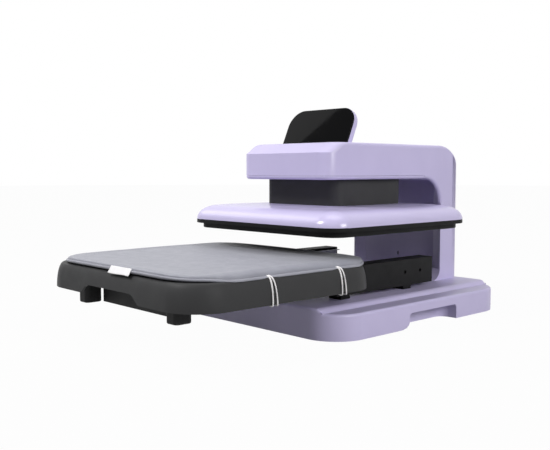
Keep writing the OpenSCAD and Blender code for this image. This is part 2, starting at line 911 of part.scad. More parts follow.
module slide_outer(side) {
    color(steel) machine() on_side(side) difference() {
        slide_channel(bracket_x + 2, rail_x, slide_z, slide_z + slide_h, slide_y);
        for (y = rail_screw_y) translate([rail_x + 1, y, rail_screw_z]) rotate([0, -90, 0])
            cylinder(h = slide_t + 2, r = m3_r + run_clear);
    }
}

module slide_outer_left() {
    slide_outer(-1);
}

module slide_outer_right() {
    slide_outer(1);
}

module slide_middle(side) {
    color(steel) machine() on_side(side)
        slide_channel(bracket_x + 2, rail_x - slide_step, slide_z + slide_step,
            slide_z + slide_h - slide_step, slide_y - drawer_travel / 2);
}

module slide_middle_left() {
    slide_middle(-1);
}

module slide_middle_right() {
    slide_middle(1);
}

// The inner member lies with its web on the drawer's bracket
module slide_inner(side) {
    x1 = rail_x - 2 * slide_step;
    z0 = slide_z + 2 * slide_step;
    z1 = slide_z + slide_h - 2 * slide_step;
    color(steel) machine() on_side(side) translate([0, slide_y - drawer_travel, 0]) difference() {
        translate([bracket_x, 0, z0]) cube([x1 - bracket_x, slide_l, z1 - z0]);
        translate([bracket_x + slide_t, -1, z0 + slide_t])
            cube([x1 - bracket_x, slide_l + 2, z1 - z0 - 2 * slide_t]);
    }
}

module slide_inner_left() {
    slide_inner(-1);
}

module slide_inner_right() {
    slide_inner(1);
}

module drawer_brackets() {
    color(steel) machine() pair() translate([0, slide_y - drawer_travel, 0]) {
        translate([bracket_x - bracket_t, 0, slide_z]) cube([bracket_t, slide_l, tray_plate_z - slide_z]);
        translate([bracket_x - bracket_flange, 0, tray_plate_z - bracket_t])
            cube([bracket_flange, slide_l, bracket_t]);
    }
}

// Circuit board on four standoffs, drawn flat with its standoffs below
module circuit_board(w, l, off) {
    board_t = 1.6;
    inset = 5;
    translate([-w / 2, -l / 2, off]) cube([w, l, board_t]);
    for (x = [-1, 1], y = [-1, 1])
        translate([x * (w / 2 - inset), y * (l / 2 - inset), 0]) cylinder(h = off, r = 3);
    translate([0, 0, off + board_t]) children();
}

module control_board() {
    color("#2F6B45") machine()
        translate([0, (board_y[0] + board_y[1]) / 2, board_bar_z + board_bar_t])
            circuit_board(control_w, board_step + board_bar_w, control_off) {
                translate([-18, -12, 0]) cube([24, 24, 3]);
                for (k = [0:3]) translate([22 + 9 * k, -20, 0]) cube([6, 14, 9]);
                for (k = [0:1]) translate([-45, -16 + 30 * k, 0]) cylinder(h = 14, r = 7);
            }
}

module power_board() {
    color("#2F6B45") machine()
        translate([0, rear_wall_y, inlet_z + power_lift]) rotate([90, 0, 0])
            circuit_board(power_w, power_l, power_off) {
                translate([-40, -26, 0]) cube([34, 30, 6]);
                for (k = [0:2]) translate([8 + 16 * k, -18, 0]) cylinder(h = 8, r = 6);
                translate([0, 10, 0]) cube([40, 14, 5]);
            }
}

module power_inlet() {
    rim = 3.5;
    cavity_w = 23;
    cavity_h = 15.5;
    cavity_d = 16;
    face = rear_wall_y + rear_cover_t + rear_flange_t;
    color(black) machine() translate([inlet_x, 0, inlet_z]) {
        difference() {
            union() {
                translate([-inlet_w / 2, face - rear_flange_t - inlet_depth, -inlet_h / 2])
                    cube([inlet_w, inlet_depth, inlet_h]);
                translate([-inlet_w / 2 - rim, face - rear_flange_t, -inlet_h / 2 - rim])
                    cube([inlet_w + 2 * rim, rear_flange_t, inlet_h + 2 * rim]);
            }
            translate([-cavity_w / 2, face - cavity_d, -cavity_h / 2])
                cube([cavity_w, cavity_d + 1, cavity_h]);
        }
        for (p = [[-7, -2], [0, 2], [7, -2]])
            translate([p[0] - 1, face - cavity_d - 1, p[1] - 2]) cube([2, cavity_d - 3, 4]);
    }
}

module switch_bezel() {
    rim = 3;
    depth = 24;
    face = rear_wall_y + rear_cover_t + rear_flange_t;
    gap = 0.4;
    color(black) machine() translate([switch_x, 0, inlet_z]) difference() {
        union() {
            translate([-switch_w / 2, face - rear_flange_t - depth, -switch_h / 2])
                cube([switch_w, depth, switch_h]);
            translate([-switch_w / 2 - rim, face - rear_flange_t, -switch_h / 2 - rim])
                cube([switch_w + 2 * rim, rear_flange_t, switch_h + 2 * rim]);
        }
        translate([-rocker_w / 2 - gap, rocker_y, 0]) rotate([0, 90, 0])
            cylinder(h = rocker_w + 2 * gap, r = rocker_r + gap);
        translate([-rocker_w / 2 - gap, rocker_y, -rocker_r - gap])
            cube([rocker_w + 2 * gap, rocker_r + 1, 2 * (rocker_r + gap)]);
    }
}

// Rocker with a shallow V in its face; it turns about its own middle line
module power_rocker() {
    color(black) machine() translate([switch_x, rocker_y, inlet_z]) rotate([-rocker_tilt, 0, 0])
        across(rocker_w) difference() {
            circle(rocker_r);
            polygon([[6, 0], [rocker_r + 5, 9], [rocker_r + 5, -9]]);
        }
}

module drawer_sensor() {
    color(black) machine() translate([-sensor_w / 2, panel_y + shell_wall, sensor_z - sensor_w / 2])
        cube([sensor_w, sensor_d, sensor_w]);
}

module screen_shell() {
    wall = 3;
    color(lilac) machine() difference() {
        intersection() {
            screen_layer(0, glass_t, screen_t);
            above(head_top);
        }
        screen_layer(wall, glass_t - 1, screen_t - wall);
    }
}

module screen_glass() {
    color(black) machine() intersection() {
        screen_layer(0.5, 0, glass_t);
        above(head_top);
    }
}

module display_module() {
    depth = screen_t - 5 - glass_t - fit;
    color("#24262B") machine() screen_place()
        translate([-screen_w / 2 + 12, 12, -glass_t - depth + 1])
            cube([screen_w - 24, screen_rise / cos(screen_lean) - 30, depth - 1]);
}

module screen_bracket() {
    color(steel) machine() {
        screen_tongue(0);
        translate([-bracket_w / 2, -screen_front - 8, ceiling_z - strap_t]) cube([bracket_w, 46, strap_t]);
    }
}

// Section of the tray's edge: a convex side that leans in and rounds over to the deck
module tray_edge(inset, z) {
    r = tray_corner_r - inset;
    top = deck_top - (inset > 0 ? deck_t : 0);
    steps = 8;
    curve = [for (k = [0:steps]) let (a = 90 * k / steps)
        [r - tray_lean * (1 - cos(a)), skirt_z + (top - skirt_z) * sin(a)]];
    polygon(concat([[0, top], [0, z], [r, z]], curve));
}

// Outer form of the tray for inset 0, and the room under its deck for inset = wall
module tray_form(inset, z) {
    top = deck_top - (inset > 0 ? deck_t : 0);
    moulded(tray_w - 2 * inset, tray_front + inset, tray_back - inset, tray_corner_r - inset,
        z, top - z) tray_edge(inset, z);
}

// Front view of the pull notch with sloped ends
module notch_view() {
    slope = notch_h * 1.2;
    polygon([[-notch_w / 2, skirt_z - 1], [notch_w / 2, skirt_z - 1], [notch_w / 2, skirt_z],
        [notch_w / 2 - slope, skirt_z + notch_h], [slope - notch_w / 2, skirt_z + notch_h],
        [-notch_w / 2, skirt_z]]);
}

module tray_shell() {
    color(graphite) machine() {
        difference() {
            tray_form(0, skirt_z);
            tray_form(tray_wall, skirt_z - 1);
            along(tray_front - 1, cross_wall_y) notch_view();
            translate([-tray_opening / 2, tray_back - tray_corner_r, skirt_z - 1])
                cube([tray_opening, tray_corner_r + 1, deck_z + 1 - skirt_z]);
        }
        translate([-cross_wall_w / 2, cross_wall_y, cross_wall_z])
            cube([cross_wall_w, cross_wall_t, deck_z - cross_wall_z]);
    }
}

module tray_plate() {
    side = tray_wall + tray_lean + tray_plate_room;
    color(steel) machine()
        slab(tray_w - 2 * side, cross_wall_y + cross_wall_t + tray_plate_room, tray_back - side,
            tray_corner_r - side, tray_plate_z, tray_plate_t);
}

module tray_feet() {
    foot_z = plateau_top + tray_foot_clear;
    y0 = cross_wall_y - fit - tray_foot_l;
    color(graphite) machine() pair()
        translate([tray_foot_gap / 2 + tray_foot_w / 2, 0, 0])
            slab(tray_foot_w, y0, y0 + tray_foot_l, tray_foot_r, foot_z, deck_z - foot_z);
}

// Ring of points on a rounded rectangle, anticlockwise from the right side, at one height
function ring(half_w, y0, y1, r, z) = let (n = 6, m = 8)
    [for (c = [0:3], k = [0:n + m - 1])
        let (
            sx = (c == 0 || c == 3) ? 1 : -1,
            sy = (c == 0 || c == 1) ? 1 : -1,
            cx = sx * (half_w - r),
            cy = sy > 0 ? y1 - r : y0 + r,
            a = 90 * c + 90 * min(k, n) / n,
            next = c == 0 ? [-(half_w - r), y1] : c == 1 ? [-half_w, y0 + r]
                : c == 2 ? [half_w - r, y0] : [half_w, y1 - r],
            last = [cx + r * cos(90 * c + 90), cy + r * sin(90 * c + 90)],
            f = max(k - n, 0) / m,
            p = k <= n ? [cx + r * cos(a), cy + r * sin(a)] : last + f * (next - last)
        ) [p[0], p[1], z]];

// How far the mat's side is drawn in beside its elastic loops
function drawn_in(y) = let (a = (y - tray_front - loop_front) / mat_pull_w, b = a - loop_step / mat_pull_w)
    mat_pull * (exp(-a * a) + exp(-b * b));

// Padded mat as stacked rings: flat below, crowned above, with a rounded edge
module press_mat() {
    soft = mat_t / 2 - mat_seat / 2;
    low = deck_top + mat_seat;
    steps = [for (a = [0:30:90]) [soft * (1 - cos(a)), low + soft * (1 - sin(a))]];
    crown = [[14, mat_top - 0.6], [60, mat_top - 0.1], [150, mat_top]];
    up = [for (a = [0:30:90]) [soft * (1 - cos(a)), low + soft * (1 + 0.8 * sin(a))]];
    levels = concat([[150, low]], [for (k = [len(steps) - 1:-1:1]) steps[k]], up, crown);
    flat = [for (v = levels) for (p = ring(mat_w / 2 - v[0], mat_front + v[0], mat_back - v[0],
        max(mat_corner_r - v[0], 6), v[1])) p];
    points = [for (p = flat) let (edge = pow(abs(p[0]) / mat_w * 2, 8))
        [p[0] - sign(p[0]) * drawn_in(p[1]) * edge, p[1], p[2]]];
    count = len(points) / len(levels);
    middle = (mat_front + mat_back) / 2;
    all = concat(points, [[0, middle, low], [0, middle, mat_top]]);
    sides = [for (k = [0:len(levels) - 2], j = [0:count - 1]) let (n = (j + 1) % count)
        each [[k * count + j, (k + 1) * count + j, (k + 1) * count + n],
            [k * count + j, (k + 1) * count + n, k * count + n]]];
    top = (len(levels) - 1) * count;
    ends = [for (j = [0:count - 1]) let (n = (j + 1) % count)
        each [[j, n, len(points)], [top + n, top + j, len(points) + 1]]];
    color(mat_grey) machine() polyhedron(points = all, faces = concat(sides, ends));
}

// Tube along a route, with square-cut ends
module tube(route, r, sides) {
    n = len(route);
    way = [for (i = [0:n - 1]) let (d = route[min(i + 1, n - 1)] - route[max(i - 1, 0)]) d / norm(d)];
    side_of = [for (d = way) let (u = cross(d, abs(d[1]) > 0.9 ? [1, 0, 0] : [0, 1, 0])) u / norm(u)];
    points = [for (i = [0:n - 1], k = [0:sides - 1])
        let (a = 360 * k / sides, v = cross(way[i], side_of[i]))
        route[i] + r * (cos(a) * side_of[i] + sin(a) * v)];
    walls = [for (i = [0:n - 2], k = [0:sides - 1]) let (m = (k + 1) % sides)
        each [[i * sides + k, (i + 1) * sides + k, (i + 1) * sides + m],
            [i * sides + k, (i + 1) * sides + m, i * sides + m]]];
    near = [for (k = [1:sides - 2]) [0, k, k + 1]];
    far = [for (k = [1:sides - 2]) [0, k + 1, k] + (n - 1) * sides * [1, 1, 1]];
    polyhedron(points = points, faces = concat(walls, near, far));
}

// Route of one elastic loop on the right side: down the skirt, round its lower edge and back
function loop_route(y) = let (
        gap = elastic_d / 2 + loop_clear,
        out = [for (a = [75:-15:0]) [tray_w / 2 - tray_lean * (1 - cos(a)) + gap * cos(a),
            skirt_z + tray_h * sin(a) + gap * sin(a)]],
        start = [mat_w / 2 - 3, deck_top + mat_t / 2],
        inner = tray_w / 2 - tray_wall,
        under = [[tray_w / 2 + gap * 0.7, skirt_z - gap * 0.7], [tray_w / 2 - tray_wall / 2, skirt_z - gap],
            [inner - gap * 0.8, skirt_z - gap * 0.6], [inner - gap - 0.3, skirt_z + 4]],
        down = concat([start], out, under),
        n = len(down)
    ) concat(
        [for (i = [0:n - 1]) [down[i][0], y - 3 - 2 * i / n, down[i][1]]],
        [for (b = [[-3.4, 3, 0.6], [0, 4.2, 0.8], [3.4, 3, 0.6]])
            [down[n - 1][0] - b[2], y + b[0], down[n - 1][1] + b[1]]],
        [for (i = [n - 1:-1:0]) [down[i][0], y + 3 + 2 * i / n, down[i][1]]]);

module elastic_loops() {
    color("white") machine() pair()
        for (y = [tray_front + loop_front, tray_front + loop_front + loop_step])
            tube(loop_route(y), elastic_d / 2, 8);
}

// Blank cloth tag at the mat's front edge, hanging over the tray
module mat_tag() {
    thin = 0.8;
    tag_x = 29;
    lay = 0.7;
    high = mat_top - mat_t / 4;
    sewn = deck_top + mat_t / 2;
    low = deck_top - 2;
    face = mat_front - fit;
    color("white") machine() translate([tag_x, 0, 0])
        across(tag_w) polygon([[face + lay, high], [face + lay - thin, high], [face - thin, sewn],
            [mat_front - tag_hang, low], [mat_front - tag_hang + thin, low], [face, sewn]]);
}

// Section of the platen cover's edge: a quarter of an ellipse
module cover_edge(inset) {
    r = rim_corner_r - inset;
    reach = min(cover_curve, rim_corner_r) - inset;
    rise = cover_h - inset;
    steps = 10;
    curve = [for (k = [0:steps]) let (a = 90 * k / steps)
        [r - reach * (1 - cos(a)), rim_top + rise * sin(a)]];
    low = inset > 0 ? rim_top - 1 : rim_top;
    polygon(concat([[0, rim_top + rise], [0, low], [r, low]], curve));
}

module cover_form(inset) {
    low = inset > 0 ? rim_top - 1 : rim_top;
    half = rim_w / 2 - inset;
    moulded(2 * half, -half, half, rim_corner_r - inset, low, rim_top + cover_h - inset - low)
        cover_edge(inset);
}

module platen_cover() {
    color(lilac) machine() difference() {
        cover_form(0);
        cover_form(cover_wall);
        shroud_slab(fit, rim_top, cover_h + 1);
    }
}

// Square plate with round corners in the heat plate's stack
module square_slab(w, r, z, h) {
    slab(w, -w / 2, w / 2, r, z, h);
}

module platen_rim() {
    lip = 4;
    color(black) machine() difference() {
        square_slab(rim_w, rim_corner_r, rim_z, rim_h);
        square_slab(plate_w + 2 * fit, plate_corner_r + fit, rim_z - 1, plate_t - plate_proud + 1);
        square_slab(plate_w - 2 * lip, plate_corner_r - lip, rim_z - 1, rim_h + 2);
    }
}

module heat_plate() {
    color(black) machine() square_slab(plate_w, plate_corner_r, plate_z, plate_t);
}

// Tubular heater laid in a winding line, with its two ends at the back
module heating_element() {
    legs = 6;
    bend = heater_pitch / 2;
    x0 = -heater_pitch * (legs - 1) / 2;
    color("#7C6A5A") machine() translate([0, 0, heater_z]) {
        for (k = [0:legs - 1]) translate([x0 + k * heater_pitch, -heater_leg, 0]) rotate([-90, 0, 0])
            cylinder(h = 2 * heater_leg, r = heater_r);
        for (k = [0:legs - 2]) let (front = k % 2 == 0)
            translate([x0 + (k + 0.5) * heater_pitch, front ? -heater_leg : heater_leg, 0])
                rotate([0, 0, front ? 180 : 0]) rotate_extrude(angle = 180)
                    translate([bend, 0]) circle(heater_r);
    }
}

// Places of the posts that carry the heat plate
module post_places() {
    for (x = [-1, 1], y = [-1, 1]) translate([x * post_x, shroud_y + y * post_y, 0]) children();
}

module insulation_pad() {
    color("#D8D2C4") machine() difference() {
        square_slab(plate_w - 2 * pad_inset, stack_corner_r, pad_z, pad_t);
        post_places() translate([0, 0, pad_z - 1]) cylinder(h = pad_t + 2, r = stud_r + fit);
    }
}

module pressure_plate() {
    color(steel) machine() difference() {
        square_slab(plate_w - 2 * pressure_inset, stack_corner_r, pressure_z, pressure_t);
        post_places() translate([0, 0, pressure_z - 1]) cylinder(h = pressure_t + 2, r = stud_r + fit);
    }
}

module thermal_cutout() {
    color(steel) machine() translate([0, 0, plate_top]) cylinder(h = 2 * heater_r, r = cutout_r);
}

module shroud() {
    color(graphite) machine() difference() {
        shroud_slab(0, pressure_top, shroud_top - pressure_top);
        shroud_slab(-shroud_wall, pressure_top - 1, shroud_top - pressure_top + 2);
    }
}

module press_carrier() {
    color(steel) machine() difference() {
        shroud_slab(-shroud_wall - fit, carrier_z, carrier_t);
        rod_places() translate([0, 0, carrier_z - 1]) cylinder(h = carrier_t + 2, r = bush_r + run_clear);
        translate([0, shroud_y, carrier_z - 1]) cylinder(h = carrier_t + 2, r = nut_r + run_clear);
        translate([0, motor_y, carrier_z - 1]) cylinder(h = carrier_t + 2, r = motor_r + 3);
    }
}

module carrier_posts() {
    color(steel) machine() post_places() {
        translate([0, 0, plate_top]) cylinder(h = pressure_top - plate_top, r = stud_r);
        translate([0, 0, pressure_top]) cylinder(h = carrier_z - pressure_top, r = post_r);
    }
}

module screw_nut() {
    color("#B59A5B") machine() translate([0, shroud_y, 0]) difference() {
        union() {
            translate([0, 0, carrier_z - nut_tail]) cylinder(h = carrier_t + nut_tail, r = nut_r);
            translate([0, 0, carrier_top]) cylinder(h = nut_flange_t, r = nut_flange_r);
        }
        translate([0, 0, carrier_z - nut_tail - 1])
            cylinder(h = carrier_t + nut_tail + nut_flange_t + 2, r = screw_r + run_clear);
    }
}

module guide_bushings() {
    color("#B59A5B") machine() rod_places() difference() {
        union() {
            translate([0, 0, carrier_z - bush_tail]) cylinder(h = carrier_t + bush_tail, r = bush_r);
            translate([0, 0, carrier_top]) cylinder(h = bush_flange_t, r = bush_flange_r);
        }
        translate([0, 0, carrier_z - bush_tail - 1])
            cylinder(h = carrier_t + bush_tail + bush_flange_t + 2, r = rod_r + run_clear);
    }
}

module lead_screw() {
    color("#C9CBD0") machine() translate([0, shroud_y, 0]) {
        translate([0, 0, screw_z]) cylinder(h = gear_z + gear_face - screw_z, r = screw_r);
        translate([0, 0, top_plate_z - collar_h - fit]) cylinder(h = collar_h, r = collar_r);
    }
}

// Outline of a gear with straight-sided teeth; a tooth lies on the X axis
module gear_outline(teeth) {
    pitch = gear_module * teeth / 2;
    root = pitch - 1.25 * gear_module;
    tip = pitch + 0.9 * gear_module;
    step = 360 / teeth;
    circle(root, $fn = 4 * teeth);
    for (k = [0:teeth - 1]) rotate(k * step)
        polygon([[root - 0.5, -root * sin(step * 0.26)], [tip, -tip * sin(step * 0.09)],
            [tip, tip * sin(step * 0.09)], [root - 0.5, root * sin(step * 0.26)]]);
}

module screw_gear() {
    color("#D9D4C4") machine() translate([0, shroud_y, gear_z]) rotate([0, 0, 90])
        linear_extrude(gear_face) difference() {
            gear_outline(screw_teeth);
            circle(screw_r);
        }
}

// Pinion with its shaft; one of its gaps faces the screw's gear
module motor_pinion() {
    color("#B59A5B") machine() translate([0, motor_y, 0]) {
        translate([0, 0, gear_z]) rotate([0, 0, -90 + 180 / pinion_teeth])
            linear_extrude(gear_face) gear_outline(pinion_teeth);
        translate([0, 0, top_plate_z - pinion_shaft_in])
            cylinder(h = pinion_shaft_in + gear_z + gear_face / 4 - top_plate_z, r = pinion_shaft_r);
    }
}

base_shell();
base_pan();
rubber_feet();
pan_screws();
column_shell();
rear_cover();
rear_cover_screws();
column_front_panel();
head_bottom_cover();
frame_plate_left();
frame_plate_right();
frame_top_plate();
frame_ties();
guide_rods();
screw_bearing();
gear_motor();
rail_box_left();
rail_box_right();
rail_spacers();
rail_screws();
slide_outer_left();
slide_outer_right();
control_board();
power_board();
power_inlet();
switch_bezel();
drawer_sensor();
screen_shell();
screen_glass();
display_module();
screen_bracket();
tray_shell();
tray_plate();
press_mat();
elastic_loops();
mat_tag();
tray_feet();
drawer_brackets();
slide_inner_left();
slide_inner_right();
slide_middle_left();
slide_middle_right();
platen_cover();
platen_rim();
heat_plate();
heating_element();
insulation_pad();
pressure_plate();
thermal_cutout();
shroud();
press_carrier();
carrier_posts();
screw_nut();
guide_bushings();
lead_screw();
screw_gear();
motor_pinion();
power_rocker();
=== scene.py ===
"""Looks of a flat craft heat press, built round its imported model.

Sizes in the classes are millimetres, and places are those of the machine itself: X runs across from the
middle, Y from the middle of the heat plate to the back, Z up from the lower rim of the base. Bench.at turns
them into the metres of the shared frame.
"""

import json
import logging
import math
from collections.abc import Callable, Sequence
from dataclasses import dataclass
from enum import Enum

import bmesh
import bpy
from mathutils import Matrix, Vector


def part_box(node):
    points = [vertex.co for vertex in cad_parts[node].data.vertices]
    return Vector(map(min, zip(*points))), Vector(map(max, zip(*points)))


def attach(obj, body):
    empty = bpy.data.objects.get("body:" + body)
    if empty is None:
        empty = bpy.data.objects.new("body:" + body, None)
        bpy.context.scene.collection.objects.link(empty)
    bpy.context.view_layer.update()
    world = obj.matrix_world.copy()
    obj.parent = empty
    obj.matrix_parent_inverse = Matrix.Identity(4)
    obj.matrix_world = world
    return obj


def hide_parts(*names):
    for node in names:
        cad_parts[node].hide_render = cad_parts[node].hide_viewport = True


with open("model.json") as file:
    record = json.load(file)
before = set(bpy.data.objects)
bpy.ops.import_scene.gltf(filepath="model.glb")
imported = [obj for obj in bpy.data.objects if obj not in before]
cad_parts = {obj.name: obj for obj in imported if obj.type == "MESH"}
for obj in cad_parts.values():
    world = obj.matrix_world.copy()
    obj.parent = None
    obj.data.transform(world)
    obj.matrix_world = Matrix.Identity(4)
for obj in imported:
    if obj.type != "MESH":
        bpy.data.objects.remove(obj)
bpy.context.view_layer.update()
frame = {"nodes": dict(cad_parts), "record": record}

log = logging.getLogger("heat_press")

# Metres within which two points are one, and within which two places count as level
SAME = 1e-6
NEAR = 1e-5
# Millimetres that a form reaches past what it cuts or trims
PAST = 9.0
# Faces in the round of a large corner
FINE = 14
# Part of a face's normal from which it counts as facing a way
FACING = 0.9

Place = tuple[float, float, float]
Tree = bpy.types.NodeTree
Socket = bpy.types.NodeSocket
EdgeTest = Callable[[bmesh.types.BMEdge], bool]
FaceTest = Callable[[bmesh.types.BMFace], bool]


def mm(value: float) -> float:
    """Turn millimetres into metres."""
    return value / 1000.0


class Bench:
    """Where the machine stands in the shared frame."""

    plate_low, plate_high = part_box("heat_plate")
    middle = (plate_low.y + plate_high.y) / 2
    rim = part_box("base_shell")[0].z

    @classmethod
    def at(cls, x: float, y: float, z: float) -> Vector:
        """Turn a place on the machine, in millimetres, into a point of the shared frame."""
        return Vector((mm(x), mm(y) + cls.middle, mm(z) + cls.rim))

    @classmethod
    def span(cls, node: str) -> tuple[Vector, Vector]:
        """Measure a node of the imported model.

        Args:
            node: Name of the node.

        Returns:
            Its lowest and highest corner, in millimetres on the machine.
        """
        shift = Vector((0.0, cls.middle, cls.rim))
        low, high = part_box(node)
        return (low - shift) * 1000.0, (high - shift) * 1000.0


class Join(Enum):
    """How a second mesh changes the first."""

    ADD = "UNION"
    CUT = "DIFFERENCE"
    COMMON = "INTERSECT"


def deselect() -> None:
    """Leave edit mode and deselect every object."""
    active = bpy.context.view_layer.objects.active
    if active is not None and active.mode != "OBJECT":
        bpy.ops.object.mode_set(mode="OBJECT")
    bpy.ops.object.select_all(action="DESELECT")


def upright(edge: bmesh.types.BMEdge) -> bool:
    """Tell whether an edge stands upright."""
    a, b = (v.co for v in edge.verts)
    return abs(a.x - b.x) < SAME and abs(a.y - b.y) < SAME


def beyond(axis: int, limit: float, side: int = 1) -> EdgeTest:
    """Give a test for edges that lie beyond a plane.

    Args:
        axis: 0, 1 or 2 for a plane across X, Y or Z.
        limit: Place of the plane on that axis, in metres.
        side: 1 for what lies above the limit, -1 for what lies below it.

    Returns:
        The test.
    """
    return lambda edge: all((v.co[axis] - limit) * side > 0 for v in edge.verts)


@dataclass
class Work:
    """One mesh on the bench, with the steps that shape it.

    Attributes:
        obj: The object that holds the mesh.
    """

    obj: bpy.types.Object

    @classmethod
    def block(cls, name: str, low: Vector, high: Vector) -> "Work":
        """Start from a box between two corners.

        Args:
            name: Name of the piece.
            low: Lowest corner, in metres.
            high: Highest corner, in metres.

        Returns:
            The box on the bench.
        """
        deselect()
        bpy.ops.mesh.primitive_cube_add(size=1.0, location=(low + high) / 2)
        return cls.started(name, high - low)

    @classmethod
    def rod(cls, name: str, centre: Vector, radius: float, length: float) -> "Work":
        """Start from a round rod that lies across the machine.

        Args:
            name: Name of the piece.
            centre: Middle of the rod, in metres.
            radius: Radius, in metres.
            length: Length, in metres.

        Returns:
            The rod on the bench.
        """
        deselect()
        bpy.ops.mesh.primitive_cylinder_add(
            vertices=64, radius=radius, depth=length, location=centre, rotation=(0.0, math.pi / 2, 0.0))
        return cls.started(name, Vector((1.0, 1.0, 1.0)))

    @classmethod
    def slab(cls, name: str, low: Vector, high: Vector, radius: float, segments: int = 12) -> "Work":
        """Start from a box whose upright edges are round.

        Args:
            name: Name of the piece.
            low: Lowest corner, in metres.
            high: Highest corner, in metres.
            radius: Radius of the upright edges, in metres.
            segments: Faces in each round.

        Returns:
            The slab on the bench.
        """
        return cls.block(name, low, high).bevel(radius, segments, upright)

    @classmethod
    def inside(cls, name: str, node: str, inset: float, foot: float, top: float, radius: float,
               segments: int = 12) -> "Work":
        """Start from a slab that keeps a distance from the outline of a node.

        Args:
            name: Name of the piece.
            node: Name of the node.
            inset: Distance inwards from the node's box, in millimetres.
            foot: Lower level on the machine, in millimetres.
            top: Upper level on the machine, in millimetres.
            radius: Radius of the upright edges, in millimetres.
            segments: Faces in each round.

        Returns:
            The slab on the bench.
        """
        low, high = Bench.span(node)
        return cls.slab(name, Bench.at(low.x + inset, low.y + inset, foot),
                        Bench.at(high.x - inset, high.y - inset, top), mm(radius), segments)

    @classmethod
    def copy_of(cls, node: str, name: str) -> "Work":
        """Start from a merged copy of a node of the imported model.

        Args:
            node: Name of the node.
            name: Name of the piece.

        Returns:
            The copy on the bench, with its flat faces whole again.
        """
        obj = bpy.data.objects.new(name, frame["nodes"][node].data.copy())
        bpy.context.scene.collection.objects.link(obj)
        obj.data.materials.clear()
        return cls(obj).merge(SAME, 0.5)

    @classmethod
    def soft_copy(cls, node: str, name: str, width: float, segments: int = 2, degrees: float = 32.0) -> "Work":
        """Start from a copy of a node with soft edges.

        Args:
            node: Name of the node.
            name: Name of the piece.
            width: Width of the soft edges, in millimetres.
            segments: Faces in them.
            degrees: Angle from which an edge counts as sharp.

        Returns:
            The copy, ready to be fitted.
        """
        return cls.copy_of(node, name).soften(mm(width), segments, degrees).smooth()

    @classmethod
    def started(cls, name: str, scale: Vector) -> "Work":
        """Name the primitive just added, scale it and put its place in its mesh."""
        obj = bpy.context.active_object
        obj.name = name
        obj.data.name = name
        obj.scale = scale
        bpy.ops.object.transform_apply(location=True, rotation=True, scale=True)
        return cls(obj)

    def focus(self) -> "Work":
        """Make this the only selected object."""
        deselect()
        self.obj.select_set(True)
        bpy.context.view_layer.objects.active = self.obj
        return self

    def edit(self, mode: str) -> bmesh.types.BMesh:
        """Open the mesh in edit mode with nothing selected.

        Args:
            mode: VERT, EDGE or FACE.

        Returns:
            The mesh that is open.
        """
        self.focus()
        bpy.ops.object.mode_set(mode="EDIT")
        bpy.ops.mesh.select_mode(type=mode)
        bpy.ops.mesh.select_all(action="DESELECT")
        return bmesh.from_edit_mesh(self.obj.data)

    def done(self) -> "Work":
        """Leave edit mode."""
        bpy.ops.object.mode_set(mode="OBJECT")
        return self

    def pick(self, mode: str, chosen: EdgeTest | FaceTest) -> "Work":
        """Open the mesh with some of its edges or faces selected.

        Args:
            mode: EDGE or FACE.
            chosen: Test that an edge or a face has to pass.

        Returns:
            This mesh, in edit mode.
        """
        mesh = self.edit(mode)
        for item in mesh.faces if mode == "FACE" else mesh.edges:
            if chosen(item):
                item.select_set(True)
        bmesh.update_edit_mesh(self.obj.data)
        return self

    def top(self) -> "Work":
        """Open the mesh with its highest level faces selected."""
        high = max(v.co.z for v in self.obj.data.vertices)
        return self.pick("FACE", lambda f: f.normal.z > FACING and f.calc_center_median().z > high - NEAR)

    def extrude(self, way: Vector, scale: Place = (1.0, 1.0, 1.0), about: Vector | None = None) -> "Work":
        """Extrude the selected faces and scale their new place.

        Args:
            way: How far the faces move, in metres.
            scale: Scale of the moved faces.
            about: Middle of the scaling, in metres.

        Returns:
            This mesh, still in edit mode.
        """
        bpy.ops.mesh.extrude_region_move(TRANSFORM_OT_translate={"value": way})
        if about is not None:
            bpy.ops.transform.resize(value=scale, center_override=about)
        return self

    def rise(self, profile: Sequence[tuple[float, float]]) -> "Work":
        """Carry the top face up along a profile.

        Args:
            profile: Points of the profile as inset from the outline and height above the start, in metres.

        Returns:
            This mesh, in object mode.
        """
        self.top()
        inset = height = 0.0
        for next_inset, next_height in profile:
            bpy.ops.mesh.inset(thickness=next_inset - inset, depth=next_height - height, use_even_offset=True)
            inset, height = next_inset, next_height
        return self.done()

    def bevel(self, radius: float, segments: int, chosen: EdgeTest) -> "Work":
        """Round chosen edges.

        Args:
            radius: Radius, in metres.
            segments: Faces in the round.
            chosen: Test that an edge has to pass.

        Returns:
            This mesh, in object mode.
        """
        self.pick("EDGE", chosen)
        bpy.ops.mesh.bevel(
            offset=radius, offset_type="OFFSET", segments=segments, profile=0.5, affect="EDGES")
        return self.done()

    def slice(self, point: Vector, normal: Vector) -> "Work":
        """Cut off what lies beyond a plane and close the cut.

        Args:
            point: A point of the plane, in metres.
            normal: Direction of what is cut off.

        Returns:
            This mesh, in object mode.
        """
        self.edit("FACE")
        bpy.ops.mesh.select_all(action="SELECT")
        bpy.ops.mesh.bisect(plane_co=point, plane_no=normal, use_fill=True, clear_outer=True)
        return self.done()

    def combine(self, tool: "Work", how: Join) -> "Work":
        """Add a second mesh, cut it away or keep what both share; the second mesh is used up.

        Args:
            tool: The second mesh.
            how: What it does.

        Returns:
            This mesh.
        """
        modifier = self.obj.modifiers.new("combine", "BOOLEAN")
        modifier.operation = how.value
        modifier.solver = "EXACT"
        modifier.object = tool.obj
        self.apply(modifier)
        bpy.data.meshes.remove(tool.obj.data)
        return self

    def apply(self, modifier: bpy.types.Modifier) -> "Work":
        """Apply a modifier to the mesh."""
        self.focus()
        bpy.ops.object.modifier_apply(modifier=modifier.name)
        return self

